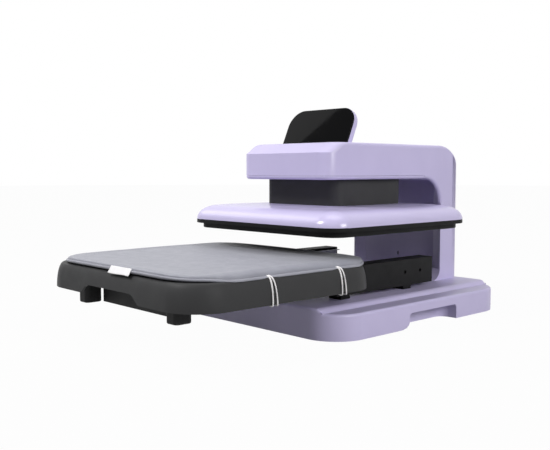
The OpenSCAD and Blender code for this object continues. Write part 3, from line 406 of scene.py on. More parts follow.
    def merge(self, apart: float = 2 * SAME, degrees: float = 0.2) -> "Work":
        """Merge doubled points and make flat faces whole.

        Args:
            apart: Distance up to which points are doubled, in metres.
            degrees: Angle up to which faces are flat.

        Returns:
            This mesh, in object mode.
        """
        self.edit("VERT")
        bpy.ops.mesh.select_all(action="SELECT")
        bpy.ops.mesh.remove_doubles(threshold=apart)
        bpy.ops.mesh.dissolve_limited(angle_limit=math.radians(degrees))
        return self.done()

    def soften(self, width: float, segments: int = 2, degrees: float = 32.0) -> "Work":
        """Round every sharp edge a little, so that it catches the light.

        Args:
            width: Width of the round, in metres.
            segments: Faces in the round.
            degrees: Angle from which an edge counts as sharp.

        Returns:
            This mesh.
        """
        modifier = self.obj.modifiers.new("soft_edges", "BEVEL")
        modifier.width = width
        modifier.segments = segments
        modifier.limit_method = "ANGLE"
        modifier.angle_limit = math.radians(degrees)
        return self.apply(modifier)

    def smooth(self, degrees: float = 40.0) -> "Work":
        """Shade the mesh smooth between faces that meet at less than an angle."""
        self.focus()
        bpy.ops.object.shade_smooth_by_angle(angle=math.radians(degrees))
        modifier = self.obj.modifiers.new("even_normals", "WEIGHTED_NORMAL")
        modifier.keep_sharp = True
        return self.apply(modifier)

    def fit(self, body: str, finish: "Finish", *nodes: str) -> bpy.types.Object:
        """Dress the finished piece and set it on the machine.

        Args:
            body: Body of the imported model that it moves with.
            finish: Its material.
            nodes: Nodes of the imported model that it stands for.

        Returns:
            The finished object.
        """
        finish.dress(self.obj)
        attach(self.obj, body)
        if nodes:
            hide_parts(*nodes)
        log.info("%s: %d faces, rides on %s", self.obj.name, len(self.obj.data.polygons), body)
        return self.obj


def quarter(reach: float, height: float, steps: int, start: float = 0.0) -> list[tuple[float, float]]:
    """Give the profile of a quarter ellipse that starts upright and ends level.

    Args:
        reach: Inset at the end, in metres.
        height: Rise at the end, in metres.
        steps: Number of points.
        start: Height already stood up before the curve begins, in metres.

    Returns:
        Points as inset and height.
    """
    turns = [math.pi / 2 * k / steps for k in range(1, steps + 1)]
    return [(reach * (1 - math.cos(a)), (height - start) * math.sin(a)) for a in turns]


def cords(name: str, radius: float, routes: Sequence[Sequence[Place]], ring: bool = False) -> Work:
    """Make round cords along routes.

    Args:
        name: Name of the piece.
        radius: Radius of the cords, in millimetres.
        routes: Points of each cord on the machine, in millimetres.
        ring: Whether each cord is a closed ring that runs straight from point to point.

    Returns:
        The cords as one mesh.
    """
    curve = bpy.data.curves.new(name, "CURVE")
    curve.dimensions = "3D"
    curve.bevel_depth = mm(radius)
    curve.bevel_resolution = 3
    for route in routes:
        spline = curve.splines.new("POLY" if ring else "NURBS")
        spline.points.add(len(route) - 1)
        if ring:
            spline.use_cyclic_u = True
        else:
            spline.order_u = 4
            spline.use_endpoint_u = True
            spline.resolution_u = 4
        for point, place in zip(spline.points, route):
            point.co = (*Bench.at(*place), 1.0)
    obj = bpy.data.objects.new(name, curve)
    bpy.context.scene.collection.objects.link(obj)
    made = Work(obj).focus()
    bpy.ops.object.convert(target="MESH")
    return made


class Pattern(Enum):
    """What a surface shows close up."""

    GRAIN = "spark grain of a mould"
    PEEL = "orange peel of baked powder"
    BRUSHED = "fine lines of grinding"
    WEAVE = "crossed threads"
    RIBS = "ribs of a braided band"
    FIBRE = "loose felted fibres"
    SMUDGE = "faint smears on glass"


# Detail of the noise that draws a pattern
DETAIL = {Pattern.GRAIN: 2.0, Pattern.PEEL: 1.0, Pattern.FIBRE: 8.0, Pattern.SMUDGE: 3.0, Pattern.BRUSHED: 4.0}
# Where the noise begins and ends to change the colour, and the roughness, and how fine it is for each
DRIFT_RANGE, DRIFT_FINENESS = (0.35, 0.65), 1000.0
WEAR_RANGE, WEAR_FINENESS = (0.3, 0.7), 2600.0


def linear(code: str) -> tuple[float, float, float, float]:
    """Turn an sRGB hex value into linear colour.

    Args:
        code: Six hex digits after a hash.

    Returns:
        Red, green, blue and alpha.
    """
    parts = [int(code[k:k + 2], 16) / 255 for k in (1, 3, 5)]
    red, green, blue = (c / 12.92 if c <= 0.04045 else ((c + 0.055) / 1.055) ** 2.4 for c in parts)
    return red, green, blue, 1.0


def add_node(tree: Tree, kind: str, settings: dict, links: dict[str, Socket] | None = None) -> bpy.types.Node:
    """Add a node with its settings and its incoming links.

    Args:
        tree: Node tree that it goes into.
        kind: Blender's name of the node.
        settings: Values by the name of an input or of a property.
        links: Outputs of other nodes by the name of the input that they feed.

    Returns:
        The new node.
    """
    node = tree.nodes.new(kind)
    for key, value in settings.items():
        if key in node.inputs:
            node.inputs[key].default_value = value
        else:
            setattr(node, key, value)
    for key, socket in (links or {}).items():
        tree.links.new(socket, node.inputs[key])
    return node


def joined(tree: Tree, kind: str, settings: dict, *sources: Socket) -> Socket:
    """Add a node that is fed in the order of its inputs.

    Args:
        tree: Node tree that it goes into.
        kind: Blender's name of the node.
        settings: Values by the name of an input or of a property.
        sources: Outputs of other nodes, for its first inputs in turn.

    Returns:
        Its first output.
    """
    node = add_node(tree, kind, settings)
    for source, entry in zip(sources, node.inputs):
        tree.links.new(source, entry)
    return node.outputs[0]


def noise(tree: Tree, place: Socket, scale: float, detail: float) -> Socket:
    """Add noise.

    Args:
        tree: Node tree that it goes into.
        place: Coordinates.
        scale: Scale of the noise.
        detail: Number of finer layers.

    Returns:
        Output with the noise.
    """
    settings = {"Scale": scale, "Detail": detail}
    return add_node(tree, "ShaderNodeTexNoise", settings, {"Vector": place}).outputs["Fac"]


@dataclass(frozen=True)
class Finish:
    """A material, named for what it really is.

    Attributes:
        name: Common name of the material and how its surface was made.
        slot: Material slot of the record.
        colour: Main colour.
        shade: Second colour, which it drifts to in patches.
        rough: Lowest and highest roughness.
        pattern: What the surface shows close up.
        pitch: Size of that pattern, in millimetres.
        depth: Height of that pattern, in millimetres.
        patch: Size of the patches of colour, in millimetres.
        metallic: 1 for bare metal.
        ior: Index of refraction of what isn't metal.
        sheen: Weight of a cloth's sheen.
    """

    name: str
    slot: str
    colour: str
    shade: str
    rough: tuple[float, float]
    pattern: Pattern
    pitch: float
    depth: float
    patch: float = 60.0
    metallic: float = 0.0
    ior: float = 1.5
    sheen: float = 0.0

    def dress(self, obj: bpy.types.Object) -> None:
        """Give an object this material and no other."""
        obj.data.materials.clear()
        obj.data.materials.append(self.material())

    def material(self) -> bpy.types.Material:
        """Build the material once and hand it out again after that."""
        found = bpy.data.materials.get(self.name)
        if found is not None:
            return found
        made = bpy.data.materials.new(self.name)
        made.use_nodes = True
        tree = made.node_tree
        entries = tree.nodes["Principled BSDF"].inputs
        for key, value in {"Metallic": self.metallic, "IOR": self.ior, "Sheen Weight": self.sheen}.items():
            entries[key].default_value = value
        place = add_node(tree, "ShaderNodeTexCoord", {}).outputs["Object"]
        height = self.height(tree, place)

        def patches(fineness: float, detail: float, limits: Sequence[float], result: Sequence[float]) -> Socket:
            """Add patches that run from one value to another."""
            settings = dict(zip(("From Min", "From Max", "To Min", "To Max"), (*limits, *result)))
            source = {"Value": noise(tree, place, fineness / self.patch, detail)}
            return add_node(tree, "ShaderNodeMapRange", settings, source).outputs["Result"]

        tint = add_node(tree, "ShaderNodeMix", {"data_type": "RGBA", "blend_type": "MIX"})
        tint.inputs[6].default_value = linear(self.colour)
        tint.inputs[7].default_value = linear(self.shade)
        drift = patches(DRIFT_FINENESS, 3.0, DRIFT_RANGE, (0.0, 1.0))
        fleck = joined(tree, "ShaderNodeMath", {"operation": "MULTIPLY"}, drift, height)
        tree.links.new(fleck, tint.inputs[0])
        tree.links.new(tint.outputs[2], entries["Base Color"])
        tree.links.new(patches(WEAR_FINENESS, 4.0, WEAR_RANGE, self.rough), entries["Roughness"])
        relief = {"Strength": 1.0, "Distance": mm(self.depth)}
        bump = add_node(tree, "ShaderNodeBump", relief, {"Height": height})
        tree.links.new(bump.outputs["Normal"], entries["Normal"])
        return made

    def height(self, tree: Tree, place: Socket) -> Socket:
        """Build the relief of the surface.

        Args:
            tree: Node tree of the material.
            place: Object coordinates.

        Returns:
            Output that runs from 0 in the hollows to 1 on the heights.
        """
        scale = 1000.0 / self.pitch

        def bands(direction: str, distortion: float) -> Socket:
            """Add bands at the pattern's pitch."""
            settings = {"wave_type": "BANDS", "bands_direction": direction, "Scale": scale * math.pi / 10,
                        "Distortion": distortion}
            return add_node(tree, "ShaderNodeTexWave", settings, {"Vector": place}).outputs["Fac"]

        if self.pattern is Pattern.WEAVE:
            threads = bands("X", 0.4), bands("Y", 0.4)
            return joined(tree, "ShaderNodeMath", {"operation": "MAXIMUM"}, *threads)
        if self.pattern is Pattern.RIBS:
            return bands("DIAGONAL", 1.5)
        if self.pattern is Pattern.BRUSHED:
            drawn_out = {"Scale": (1.0, 0.04, 1.0)}
            place = add_node(tree, "ShaderNodeMapping", drawn_out, {"Vector": place}).outputs["Vector"]
        return noise(tree, place, scale, DETAIL[self.pattern])


# Injection-moulded ABS in lilac: a satin skin with a fine spark grain, drawn coarser than it is so that it shows
LILAC = Finish(
    "lilac_moulded_abs", "lilac_plastic", "#C4BCDF", "#BEB6DA", (0.36, 0.44), Pattern.GRAIN, 0.9, 0.008)
# Heat-proof moulded cover in the same lilac: glossier, so that the lamps show in it as small bright spots
LILAC_GLOSS = Finish(
    "lilac_gloss_moulded_pbt", "lilac_plastic", "#C4BCDF", "#BEB6DA", (0.2, 0.26), Pattern.PEEL, 3.0, 0.003)
# Injection-moulded ABS in graphite: satin, with the same spark grain
GRAPHITE = Finish(
    "graphite_moulded_abs", "graphite_plastic", "#39393A", "#343435", (0.48, 0.6), Pattern.GRAIN, 0.9, 0.015,
    ior=1.22)
# Moulded nylon of small fittings: black, slightly glossy
BLACK_PLASTIC = Finish(
    "black_moulded_nylon", "black_plastic", "#0C0C0D", "#111112", (0.42, 0.54), Pattern.GRAIN, 0.8, 0.012, ior=1.2)
# Powder-coated sheet steel: black, with the soft orange peel of baked powder
BLACK_STEEL = Finish(
    "black_powder_coat", "black_steel", "#111112", "#0D0D0E", (0.5, 0.62), Pattern.PEEL, 2.2, 0.03, ior=1.25)
# Zinc-plated sheet steel: greyish, with faint rolling lines
STEEL = Finish(
    "zinc_plated_steel", "steel", "#B4B6BA", "#9C9EA4", (0.32, 0.48), Pattern.BRUSHED, 0.7, 0.006, metallic=1.0)
# Ground steel of rods and screw: bright
BRIGHT_STEEL = Finish(
    "ground_steel", "bright_steel", "#D2D4D8", "#C2C4C9", (0.16, 0.26), Pattern.BRUSHED, 0.5, 0.003, metallic=1.0)
# Cast aluminium with a baked non-stick coating: black, dull, faintly flecked
COATED = Finish(
    "nonstick_coated_aluminium", "coated_aluminium", "#0D0D0E", "#161618", (0.42, 0.54), Pattern.PEEL, 1.1, 0.02,
    ior=1.2)
# Turned brass
BRASS = Finish(
    "turned_brass", "brass", "#C9A95F", "#B99650", (0.22, 0.36), Pattern.BRUSHED, 0.5, 0.004, metallic=1.0)
# Moulded rubber: dull and dark
RUBBER = Finish("moulded_rubber", "rubber", "#1D1D1E", "#272728", (0.7, 0.85), Pattern.GRAIN, 0.8, 0.03)
# Back-painted float glass with an anti-glare coating, which lowers its index: black, with faint finger smears
GLASS = Finish(
    "black_float_glass", "screen_glass", "#030304", "#050506", (0.02, 0.05), Pattern.SMUDGE, 9.0, 0.0003,
    patch=40.0, ior=1.12)
# Silver-coated cotton: threads drawn at three times their real spacing, with the coating's soft sheen
SILVER_CLOTH = Finish(
    "silver_coated_cotton", "mat_fabric", "#8E8F99", "#848590", (0.46, 0.6), Pattern.WEAVE, 1.5, 0.05,
    patch=35.0, sheen=0.15)
# Braided elastic: white, with ribs across the strand
WHITE_ELASTIC = Finish(
    "white_braided_elastic", "white_fabric", "#F2F0F0", "#E2DFE2", (0.6, 0.75), Pattern.RIBS, 0.9, 0.08,
    patch=20.0, sheen=0.2)
# Woven satin tape of the blank tag: white with a fine weave
TAG_TAPE = Finish(
    "white_satin_tape", "white_fabric", "#F4F3F4", "#E9E7EA", (0.45, 0.58), Pattern.WEAVE, 0.8, 0.03,
    patch=20.0, sheen=0.2)
# Needled mineral fibre board
FIBRE = Finish("mineral_fibre_board", "insulation", "#D6CFBF", "#BFB7A6", (0.85, 0.95), Pattern.FIBRE, 4.0, 0.3)
# Green solder-masked circuit board
BOARD = Finish("solder_masked_board", "circuit_board", "#2C6A45", "#24583A", (0.3, 0.45), Pattern.GRAIN, 1.5, 0.02)
# Cut nylon of the large gear: off-white
NYLON = Finish("cut_nylon", "nylon", "#DDD7C7", "#D2CBB9", (0.4, 0.55), Pattern.GRAIN, 1.2, 0.02)

BY_SLOT = {finish.slot: finish for finish in (
    LILAC, GRAPHITE, BLACK_PLASTIC, BLACK_STEEL, STEEL, BRIGHT_STEEL, COATED, BRASS, RUBBER, GLASS, SILVER_CLOTH,
    WHITE_ELASTIC, FIBRE, BOARD, NYLON)}


@dataclass
class Base:
    """Lower casing with its plateau and a hand-hold in each side."""

    side_height: float = 46.0
    corner: float = 65.0
    border: float = 45.0
    slope: float = 8.0
    root: float = 10.0
    wall: float = 3.0
    edge: float = 5.0
    sharp: float = 25.0
    soft: float = 1.2
    hold_length: float = 146.0
    hold_middle: float = 48.0
    hold_height: float = 28.0
    hold_depth: float = 36.0
    hold_past: float = 40.0
    hold_under: float = 20.0
    hold_corner: float = 20.0
    hold_edge: float = 7.0
    flare_run: float = 26.0
    flare_rise: float = 13.0

    def form(self, inset: float) -> Work:
        """Build the casing's outer form, or the room inside it.

        Args:
            inset: 0 for the outside, the wall for the inside.

        Returns:
            The closed form.
        """
        at = Bench.at
        low, high = Bench.span("base_shell")
        front, back, foot = low.y + inset, high.y - inset, low.z - inset
        shoulder, top = self.side_height - inset, high.z - inset
        half = high.x - self.border - inset
        wide = half + self.slope
        corner = self.corner - inset
        body = Work.inside("base_casing", "base_shell", inset, foot, shoulder, corner)
        plateau = Work.block("plateau", at(-wide, front, shoulder - self.root), at(wide, back, shoulder))
        about = at(0, (front + back) / 2, top)
        plateau.top().extrude(Vector((0, 0, mm(top - shoulder))), (half / wide, 1, 1), about).done()
        outline = Work.inside("outline", "base_shell", inset, foot, top + PAST, corner)
        return body.combine(plateau.combine(outline, Join.COMMON), Join.ADD).merge()

    def hold(self, side: int, grow: float) -> Work:
        """Build the room of a hand-hold, whose front end rounds over to the casing's lower edge.

        Args:
            side: -1 for the left one, 1 for the right one.
            grow: How far it is grown, for the wall round it.

        Returns:
            The closed form, reaching out past the casing.
        """
        at = Bench.at
        x = Bench.span("base_shell")[1].x
        low, high = sorted((side * (x - self.hold_depth - grow), side * (x + self.hold_past)))
        reach = self.hold_length / 2 + grow
        front, back = self.hold_middle - reach, self.hold_middle + reach
        foot, lid = -self.hold_under, self.hold_height + grow
        made = Work.slab("hold", at(low, front, foot), at(high, back, lid), mm(self.hold_corner + grow))
        made.bevel(mm(self.hold_edge + grow), 5, beyond(2, at(0, 0, lid).z - NEAR))
        start = front - self.flare_run
        flare = Work.block("flare", at(low, start, foot), at(high, front + 1, self.flare_rise))
        centre = at((low + high) / 2, start, self.flare_rise)
        turn = Work.rod("turn", centre, mm(self.flare_rise), mm(high - low + PAST))
        turn.pick("FACE", lambda f: True)
        bpy.ops.transform.resize(value=(1, self.flare_run / self.flare_rise, 1), center_override=centre)
        return made.combine(flare.combine(turn.done(), Join.CUT), Join.ADD)

    def build(self) -> None:
        """Build the casing."""
        shell, room = self.form(0.0), self.form(self.wall)
        for side in (-1, 1):
            room.combine(self.hold(side, self.wall), Join.CUT)
        shell.combine(room, Join.CUT)
        for side in (-1, 1):
            shell.combine(self.hold(side, 0.0), Join.CUT)
        reach = mm(self.side_height - self.edge - 1) + Bench.rim

        def upper(edge: bmesh.types.BMEdge) -> bool:
            """Tell whether an edge is a convex upper edge."""
            return (min(v.co.z for v in edge.verts) > reach and edge.is_convex
                    and edge.calc_face_angle(0.0) > math.radians(self.sharp))

        shell.merge().bevel(mm(self.edge), 5, upper)
        shell.soften(mm(self.soft), 2, 35).smooth()
        shell.fit("frame", LILAC, "base_shell")


@dataclass
class ColumnAndHead:
    """C-shaped casing of column and head, with its lower cover and its front panel."""

    depth: float = 75.0
    arch: float = 52.0
    back_curve: float = 75.0
    corner: float = 30.0
    brow_run: float = 28.0
    brow_drop: float = 19.5
    wall: float = 3.0
    edge: float = 7.0
    sharp: float = 28.0
    soft: float = 1.0
    recess_mouth: float = 112.0
    recess_floor: float = 94.0
    recess_depth: float = 10.0
    recess_reach: float = 75.0
    cove: float = 24.0
    seam: float = 0.3
    rear_rim: float = 8.0
    band_edge: float = 6.0
    mouth_gap: float = 1.0
    mouth_corner: float = 26.0
    cover_soft: float = 0.7
    panel_soft: float = 0.8

    def form(self, inset: float) -> Work:
        """Build the casing's outer form, or the room inside it.

        Args:
            inset: 0 for the outside, the wall for the inside.

        Returns:
            The closed form.
        """
        at = Bench.at
        low, high = Bench.span("column_shell")
        under = Bench.span("head_bottom_cover")[0].z + inset
        x, front, back = high.x - inset, low.y + inset, high.y - inset
        throat = high.y - self.depth + inset
        top = high.z - inset
        body = Work.block("column_casing", at(-x, throat, low.z - inset), at(x, back, under))
        body.top().extrude(Vector((0, 0, mm(top - under)))).done()
        middle = at(0, 0, (under + top) / 2).z
        body.pick("FACE", lambda f: f.normal.y < -FACING and abs(f.calc_center_median().z - middle) < 1e-3)
        body.extrude(Vector((0, mm(front - throat), 0))).done().merge()

        def corner_at(y: float, z: float) -> EdgeTest:
            """Give a test for the edge across the machine at a place."""
            point = at(0, y, z)
            return lambda e: all(abs(v.co.y - point.y) < NEAR and abs(v.co.z - point.z) < NEAR for v in e.verts)

        body.bevel(mm(self.arch + inset), 20, corner_at(throat, under))
        body.bevel(mm(self.back_curve - inset), 24, corner_at(back, top))
        over = self.brow_drop + PAST
        outline = Work.slab(
            "outline", at(-x, front, low.z - PAST), at(x, back, top - self.brow_drop),
            mm(self.corner - inset), FINE)
        outline.top().extrude(Vector((0, 0, mm(over)))).done()
        mesh = outline.edit("VERT")
        lid, turn = at(0, 0, top).z, at(0, low.y + self.corner, 0).y + 1e-4
        for vertex in mesh.verts:
            if vertex.co.z > lid and vertex.co.y < turn:
                vertex.co.y += mm(self.brow_run * over / self.brow_drop)
        bmesh.update_edit_mesh(outline.obj.data)
        return body.combine(outline.done(), Join.COMMON).merge()

    def build(self) -> None:
        """Build the casing, the lower cover and the front panel."""
        low, high = Bench.span("column_shell")
        shell = self.form(0.0)
        foot = Bench.at(0, 0, low.z + 1).z
        ridge = Bench.at(0, 0, high.z - self.brow_drop).z

        def outer(edge: bmesh.types.BMEdge) -> bool:
            """Tell whether an edge is sharp, stands clear of the casing's foot and isn't the brow's crease."""
            heights = [v.co.z for v in edge.verts]
            crease = all(abs(z - ridge) < NEAR for z in heights)
            sharp = edge.calc_face_angle(0.0) > math.radians(self.sharp)
            return min(heights) > foot and sharp and not crease

        shell.bevel(mm(self.edge), 5, outer)
        shell.combine(self.form(self.wall), Join.CUT)
        self.shape_throat(shell)
        panel_low, panel_high = Bench.span("column_front_panel")
        rear = Bench.span("rear_cover")[0].y
        for node, grow, start, end in (
                ("column_front_panel", self.seam, panel_low.y - 1, panel_high.y + 1),
                ("rear_cover", self.seam, rear, high.y + PAST),
                ("rear_cover", -self.rear_rim, rear - PAST, high.y + PAST)):
            a, b = Bench.span(node)
            seat = Work.block(
                "seat", Bench.at(a.x - grow, start, a.z - grow), Bench.at(b.x + grow, end, b.z + grow))
            shell.combine(seat, Join.CUT)
        shell.merge().soften(mm(self.soft), 2, 38).smooth()
        shell.fit("frame", LILAC, "column_shell")
        self.build_cover()
        panel = Work.soft_copy("column_front_panel", "column_panel", self.panel_soft)
        panel.fit("frame", LILAC, "column_front_panel")

    def shape_throat(self, shell: Work) -> None:
        """Thicken the column's front, round its foot, and cut the lower cover's room and the recess.

        Args:
            shell: The hollow casing.
        """
        at = Bench.at
        low, high = Bench.span("column_shell")
        cover_low, cover_high = Bench.span("head_bottom_cover")
        throat, x = high.y - self.depth, high.x
        floor = throat + self.recess_depth
        filling = Work.block(
            "filling", at(-x + 2, throat + 1, low.z), at(x - 2, floor + self.wall, cover_low.z - 2))
        shell.combine(filling, Join.ADD)
        start, rise = throat - self.cove, low.z + self.cove
        foot = Work.block("cove", at(-x, start, low.z), at(x, throat + 1, rise))
        hollow = Work.rod("hollow", at(0, start, rise), mm(self.cove), mm(2 * x + PAST))
        shell.combine(foot.combine(hollow, Join.CUT), Join.ADD)
        below = Work.block(
            "below", at(-x - PAST, low.y - PAST, cover_low.z - PAST),
            at(x + PAST, cover_high.y + self.seam, cover_high.z + self.seam))
        shell.combine(below, Join.CUT)
        mouth = self.recess_mouth
        recess = Work.block("recess", at(-mouth, throat, rise), at(mouth, floor, cover_low.z - self.wall))
        recess.pick("FACE", lambda f: f.normal.y > FACING)
        bpy.ops.transform.resize(value=(self.recess_floor / mouth, 1, 1), center_override=at(0, throat, 0))
        recess.done().pick("FACE", lambda f: f.normal.y < -FACING)
        recess.extrude(Vector((0, mm(-self.recess_reach), 0))).done()
        shell.combine(recess, Join.CUT)

    def build_cover(self) -> None:
        """Build the head's lower cover with its opening for the shroud."""
        at = Bench.at
        low, high = Bench.span("head_bottom_cover")
        front = at(0, low.y, 0).y
        cover = Work.block("head_cover", at(*low), at(*high))
        cover.bevel(mm(self.corner), FINE, lambda e: upright(e) and abs(e.verts[0].co.y - front) < NEAR)
        lower = beyond(2, at(0, 0, low.z).z + NEAR, -1)
        rear = beyond(1, at(0, high.y, 0).y - 1e-4)
        cover.bevel(mm(self.band_edge), 6, lambda e: lower(e) and not rear(e))
        wall = self.wall + 1
        room = Work.inside(
            "room", "head_bottom_cover", wall, low.z + self.wall, high.z + PAST, self.corner - wall)
        cover.combine(room, Join.CUT)
        mouth = Work.inside(
            "mouth", "shroud", -self.mouth_gap, low.z - PAST, high.z + PAST, self.mouth_corner)
        cover.combine(mouth, Join.CUT)
        cover.merge().soften(mm(self.cover_soft), 2, 38).smooth()
        cover.fit("frame", LILAC, "head_bottom_cover")


@dataclass
class TouchScreen:
    """Touch screen that leans back on the head."""

    width: float = 178.0
    rise: float = 70.0
    root: float = 20.0
    lean: float = 24.0
    thickness: float = 15.0
    corner: float = 36.0
    glass: float = 2.0
    front: float = 46.0
    wall: float = 3.0
    edge: float = 5.0
    soft: float = 0.6
    glass_gap: float = 0.5
    glass_edge: float = 0.9

    def board(self, name: str, inset: float, near: float, far: float) -> Work:
        """Build an upright board with round upper corners, reaching below the head's top.

        Args:
            name: Name of the piece.
            inset: How far it stays inside the screen's outline.
            near: Depth of its front behind the screen's face.
            far: Depth of its back behind the screen's face.

        Returns:
            The board, still upright at the origin.
        """
        half = self.width / 2 - inset
        top = self.rise / math.cos(math.radians(self.lean)) - inset
        low, high = Vector((mm(-half), mm(near), mm(-self.root))), Vector((mm(half), mm(far), mm(top)))
        upper = beyond(2, mm(top) - NEAR)
        return Work.block(name, low, high).bevel(
            mm(self.corner - inset), 12, lambda e: abs(e.verts[0].co.y - e.verts[1].co.y) > 1e-4 and upper(e))

    def lean_back(self, made: Work) -> Work:
        """Lean an upright board back on the head and trim its foot."""
        top = Bench.span("column_shell")[1].z
        obj = made.focus().obj
        obj.rotation_euler = (-math.radians(self.lean), 0.0, 0.0)
        obj.location = Bench.at(0, -self.front, top)
        bpy.ops.object.transform_apply(location=True, rotation=True, scale=True)
        return made.slice(Bench.at(0, 0, top), Vector((0, 0, -1)))

    def build(self) -> None:
        """Build the screen's casing and its glass."""
        casing = self.board("screen_casing", 0.0, self.glass, self.thickness)
        casing.bevel(mm(self.edge), 5, beyond(1, mm(self.thickness) - NEAR))
        casing.combine(self.board("room", self.wall, self.glass - 1, self.thickness - self.wall), Join.CUT)
        self.lean_back(casing).merge().soften(mm(self.soft), 2, 35).smooth()
        casing.fit("frame", LILAC, "screen_shell")
        pane = self.board("screen_pane", self.glass_gap, 0.0, self.glass)
        pane.bevel(mm(self.glass_edge), 3, beyond(1, NEAR, -1))
        self.lean_back(pane).merge().smooth(30)
        pane.fit("frame", GLASS, "screen_glass")


@dataclass
class Platen:
    """Heat plate with its rim, its domed cover and the shroud above it."""

    corner: float = 34.0
    rim_over: float = 13.0
    curve: float = 45.0
    wall: float = 3.0
    crown: tuple[tuple[float, float], ...] = ((0.93, 1.4), (0.86, 0.9), (0.76, 0.5), (0.6, 0.2))
    cover_soft: float = 0.8
    rim_soft: float = 1.6
    plate_soft: float = 2.0
    shroud_corner: float = 25.0
    shroud_root: float = 20.0
    shroud_soft: float = 0.8
    fit_gap: float = 0.3

    def dome(self, inset: float) -> Work:
        """Build the domed form of the cover, or the room inside it."""
        low, high = Bench.span("platen_cover")
        foot = low.z - (PAST if inset else 0)
        corner = self.corner + self.rim_over - inset
        dome = Work.inside("platen_dome", "platen_cover", inset, foot, low.z + 1, corner, FINE)
        dome.rise(quarter(mm(self.curve - inset), mm(high.z - low.z - inset), 12, mm(1)))
        dome.top()
        about = Vector((0.0, Bench.middle, Bench.at(0, 0, high.z).z))
        for scale, lift in self.crown:
            dome.extrude(Vector((0, 0, mm(lift))), (scale, scale, 1), about)
        return dome.done()

    def build(self) -> None:
        """Build cover, rim, heat plate and shroud."""
        cover = self.dome(0.0)
        cover.combine(self.dome(self.wall), Join.CUT)
        low, high = Bench.span("shroud")
        gap = self.fit_gap
        mouth = Work.inside(
            "mouth", "shroud", -gap, low.z - self.shroud_root, high.z, self.shroud_corner + gap)
        cover.combine(mouth, Join.CUT)
        cover.soften(mm(self.cover_soft), 2, 50).smooth(50)
        cover.fit("press", LILAC_GLOSS, "platen_cover")
        rim = Work.soft_copy("platen_rim", "platen_rim_ring", self.rim_soft, 3)
        rim.fit("press", BLACK_PLASTIC, "platen_rim")
        plate_low, plate_high = Bench.span("heat_plate")
        plate = Work.inside("heated_plate", "heat_plate", 0.0, plate_low.z, plate_high.z, self.corner, FINE)
        plate.soften(mm(self.plate_soft), 3).smooth()
        plate.fit("press", COATED, "heat_plate")
        box = Work.inside("press_shroud", "shroud", 0.0, low.z, high.z, self.shroud_corner, FINE)
        room = Work.inside(
            "room", "shroud", self.wall, low.z - PAST, high.z + PAST, self.shroud_corner - self.wall, FINE)
        box.combine(room, Join.CUT).merge().soften(mm(self.shroud_soft), 2).smooth()
        box.fit("press", GRAPHITE, "shroud")


@dataclass
class DrawerTray:
    """Tray of the drawer with its skirt, pull notch, cross wall and two front feet."""

    height: float = 42.0
    corner: float = 66.0
    lean: float = 12.0
    start: float = 0.5
    wall: float = 4.0
    deck: float = 3.0
    soft: float = 1.2
    notch_width: float = 172.0
    notch_height: float = 15.0
    notch_slope: float = 18.0
    notch_round: float = 7.0
    pull_room: float = 60.0
    cross_wall: float = 3.0
    cross_half: float = 116.0
    opening: float = 326.0
    foot_soft: float = 2.5

    def form(self, inset: float) -> Work:
        """Build the tray's outer form, or the room under its deck."""
        high = Bench.span("tray_shell")[1]
        skirt = high.z - self.height
        top = high.z - (self.deck if inset else 0.0)
        foot = skirt - (PAST if inset else 0)
        body = Work.inside(
            "tray_body", "tray_shell", inset, foot, skirt + self.start, self.corner - inset, FINE)
        return body.rise(quarter(mm(self.lean), mm(top - skirt), 12, mm(self.start)))

    def build(self) -> None:
        """Build the tray and its feet."""
        at = Bench.at
        low, high = Bench.span("tray_shell")
        skirt, deck = high.z - self.height, high.z - self.deck
        tray = self.form(0.0)
        tray.combine(self.form(self.wall), Join.CUT)
        half = self.notch_width / 2
        wall_y = low.y + self.pull_room
        notch = Work.block("notch", at(-half, low.y - PAST, skirt - PAST), at(half, wall_y, skirt))
        narrow = ((half - self.notch_slope) / half, 1, 1)
        notch.top().extrude(Vector((0, 0, mm(self.notch_height))), narrow, at(0, low.y, 0)).done()
        upper = beyond(2, at(0, 0, skirt + self.notch_height).z - NEAR)
        notch.bevel(mm(self.notch_round), 5,
                    lambda e: upper(e) and abs(e.verts[0].co.y - e.verts[1].co.y) > 1e-3)
        tray.combine(notch, Join.CUT)
        rear = Work.block(
            "rear", at(-self.opening / 2, high.y - self.corner, skirt - PAST),
            at(self.opening / 2, high.y + PAST, deck))
        tray.combine(rear, Join.CUT)
        cross = Work.block(
            "cross", at(-self.cross_half, wall_y, low.z),
            at(self.cross_half, wall_y + self.cross_wall, deck + 1))
        tray.combine(cross, Join.ADD).merge().soften(mm(self.soft), 3, 38).smooth(45)
        tray.fit("drawer", GRAPHITE, "tray_shell")
        feet = Work.soft_copy("tray_feet", "tray_feet_pair", self.foot_soft, 3, 40)
        feet.fit("drawer", GRAPHITE, "tray_feet")


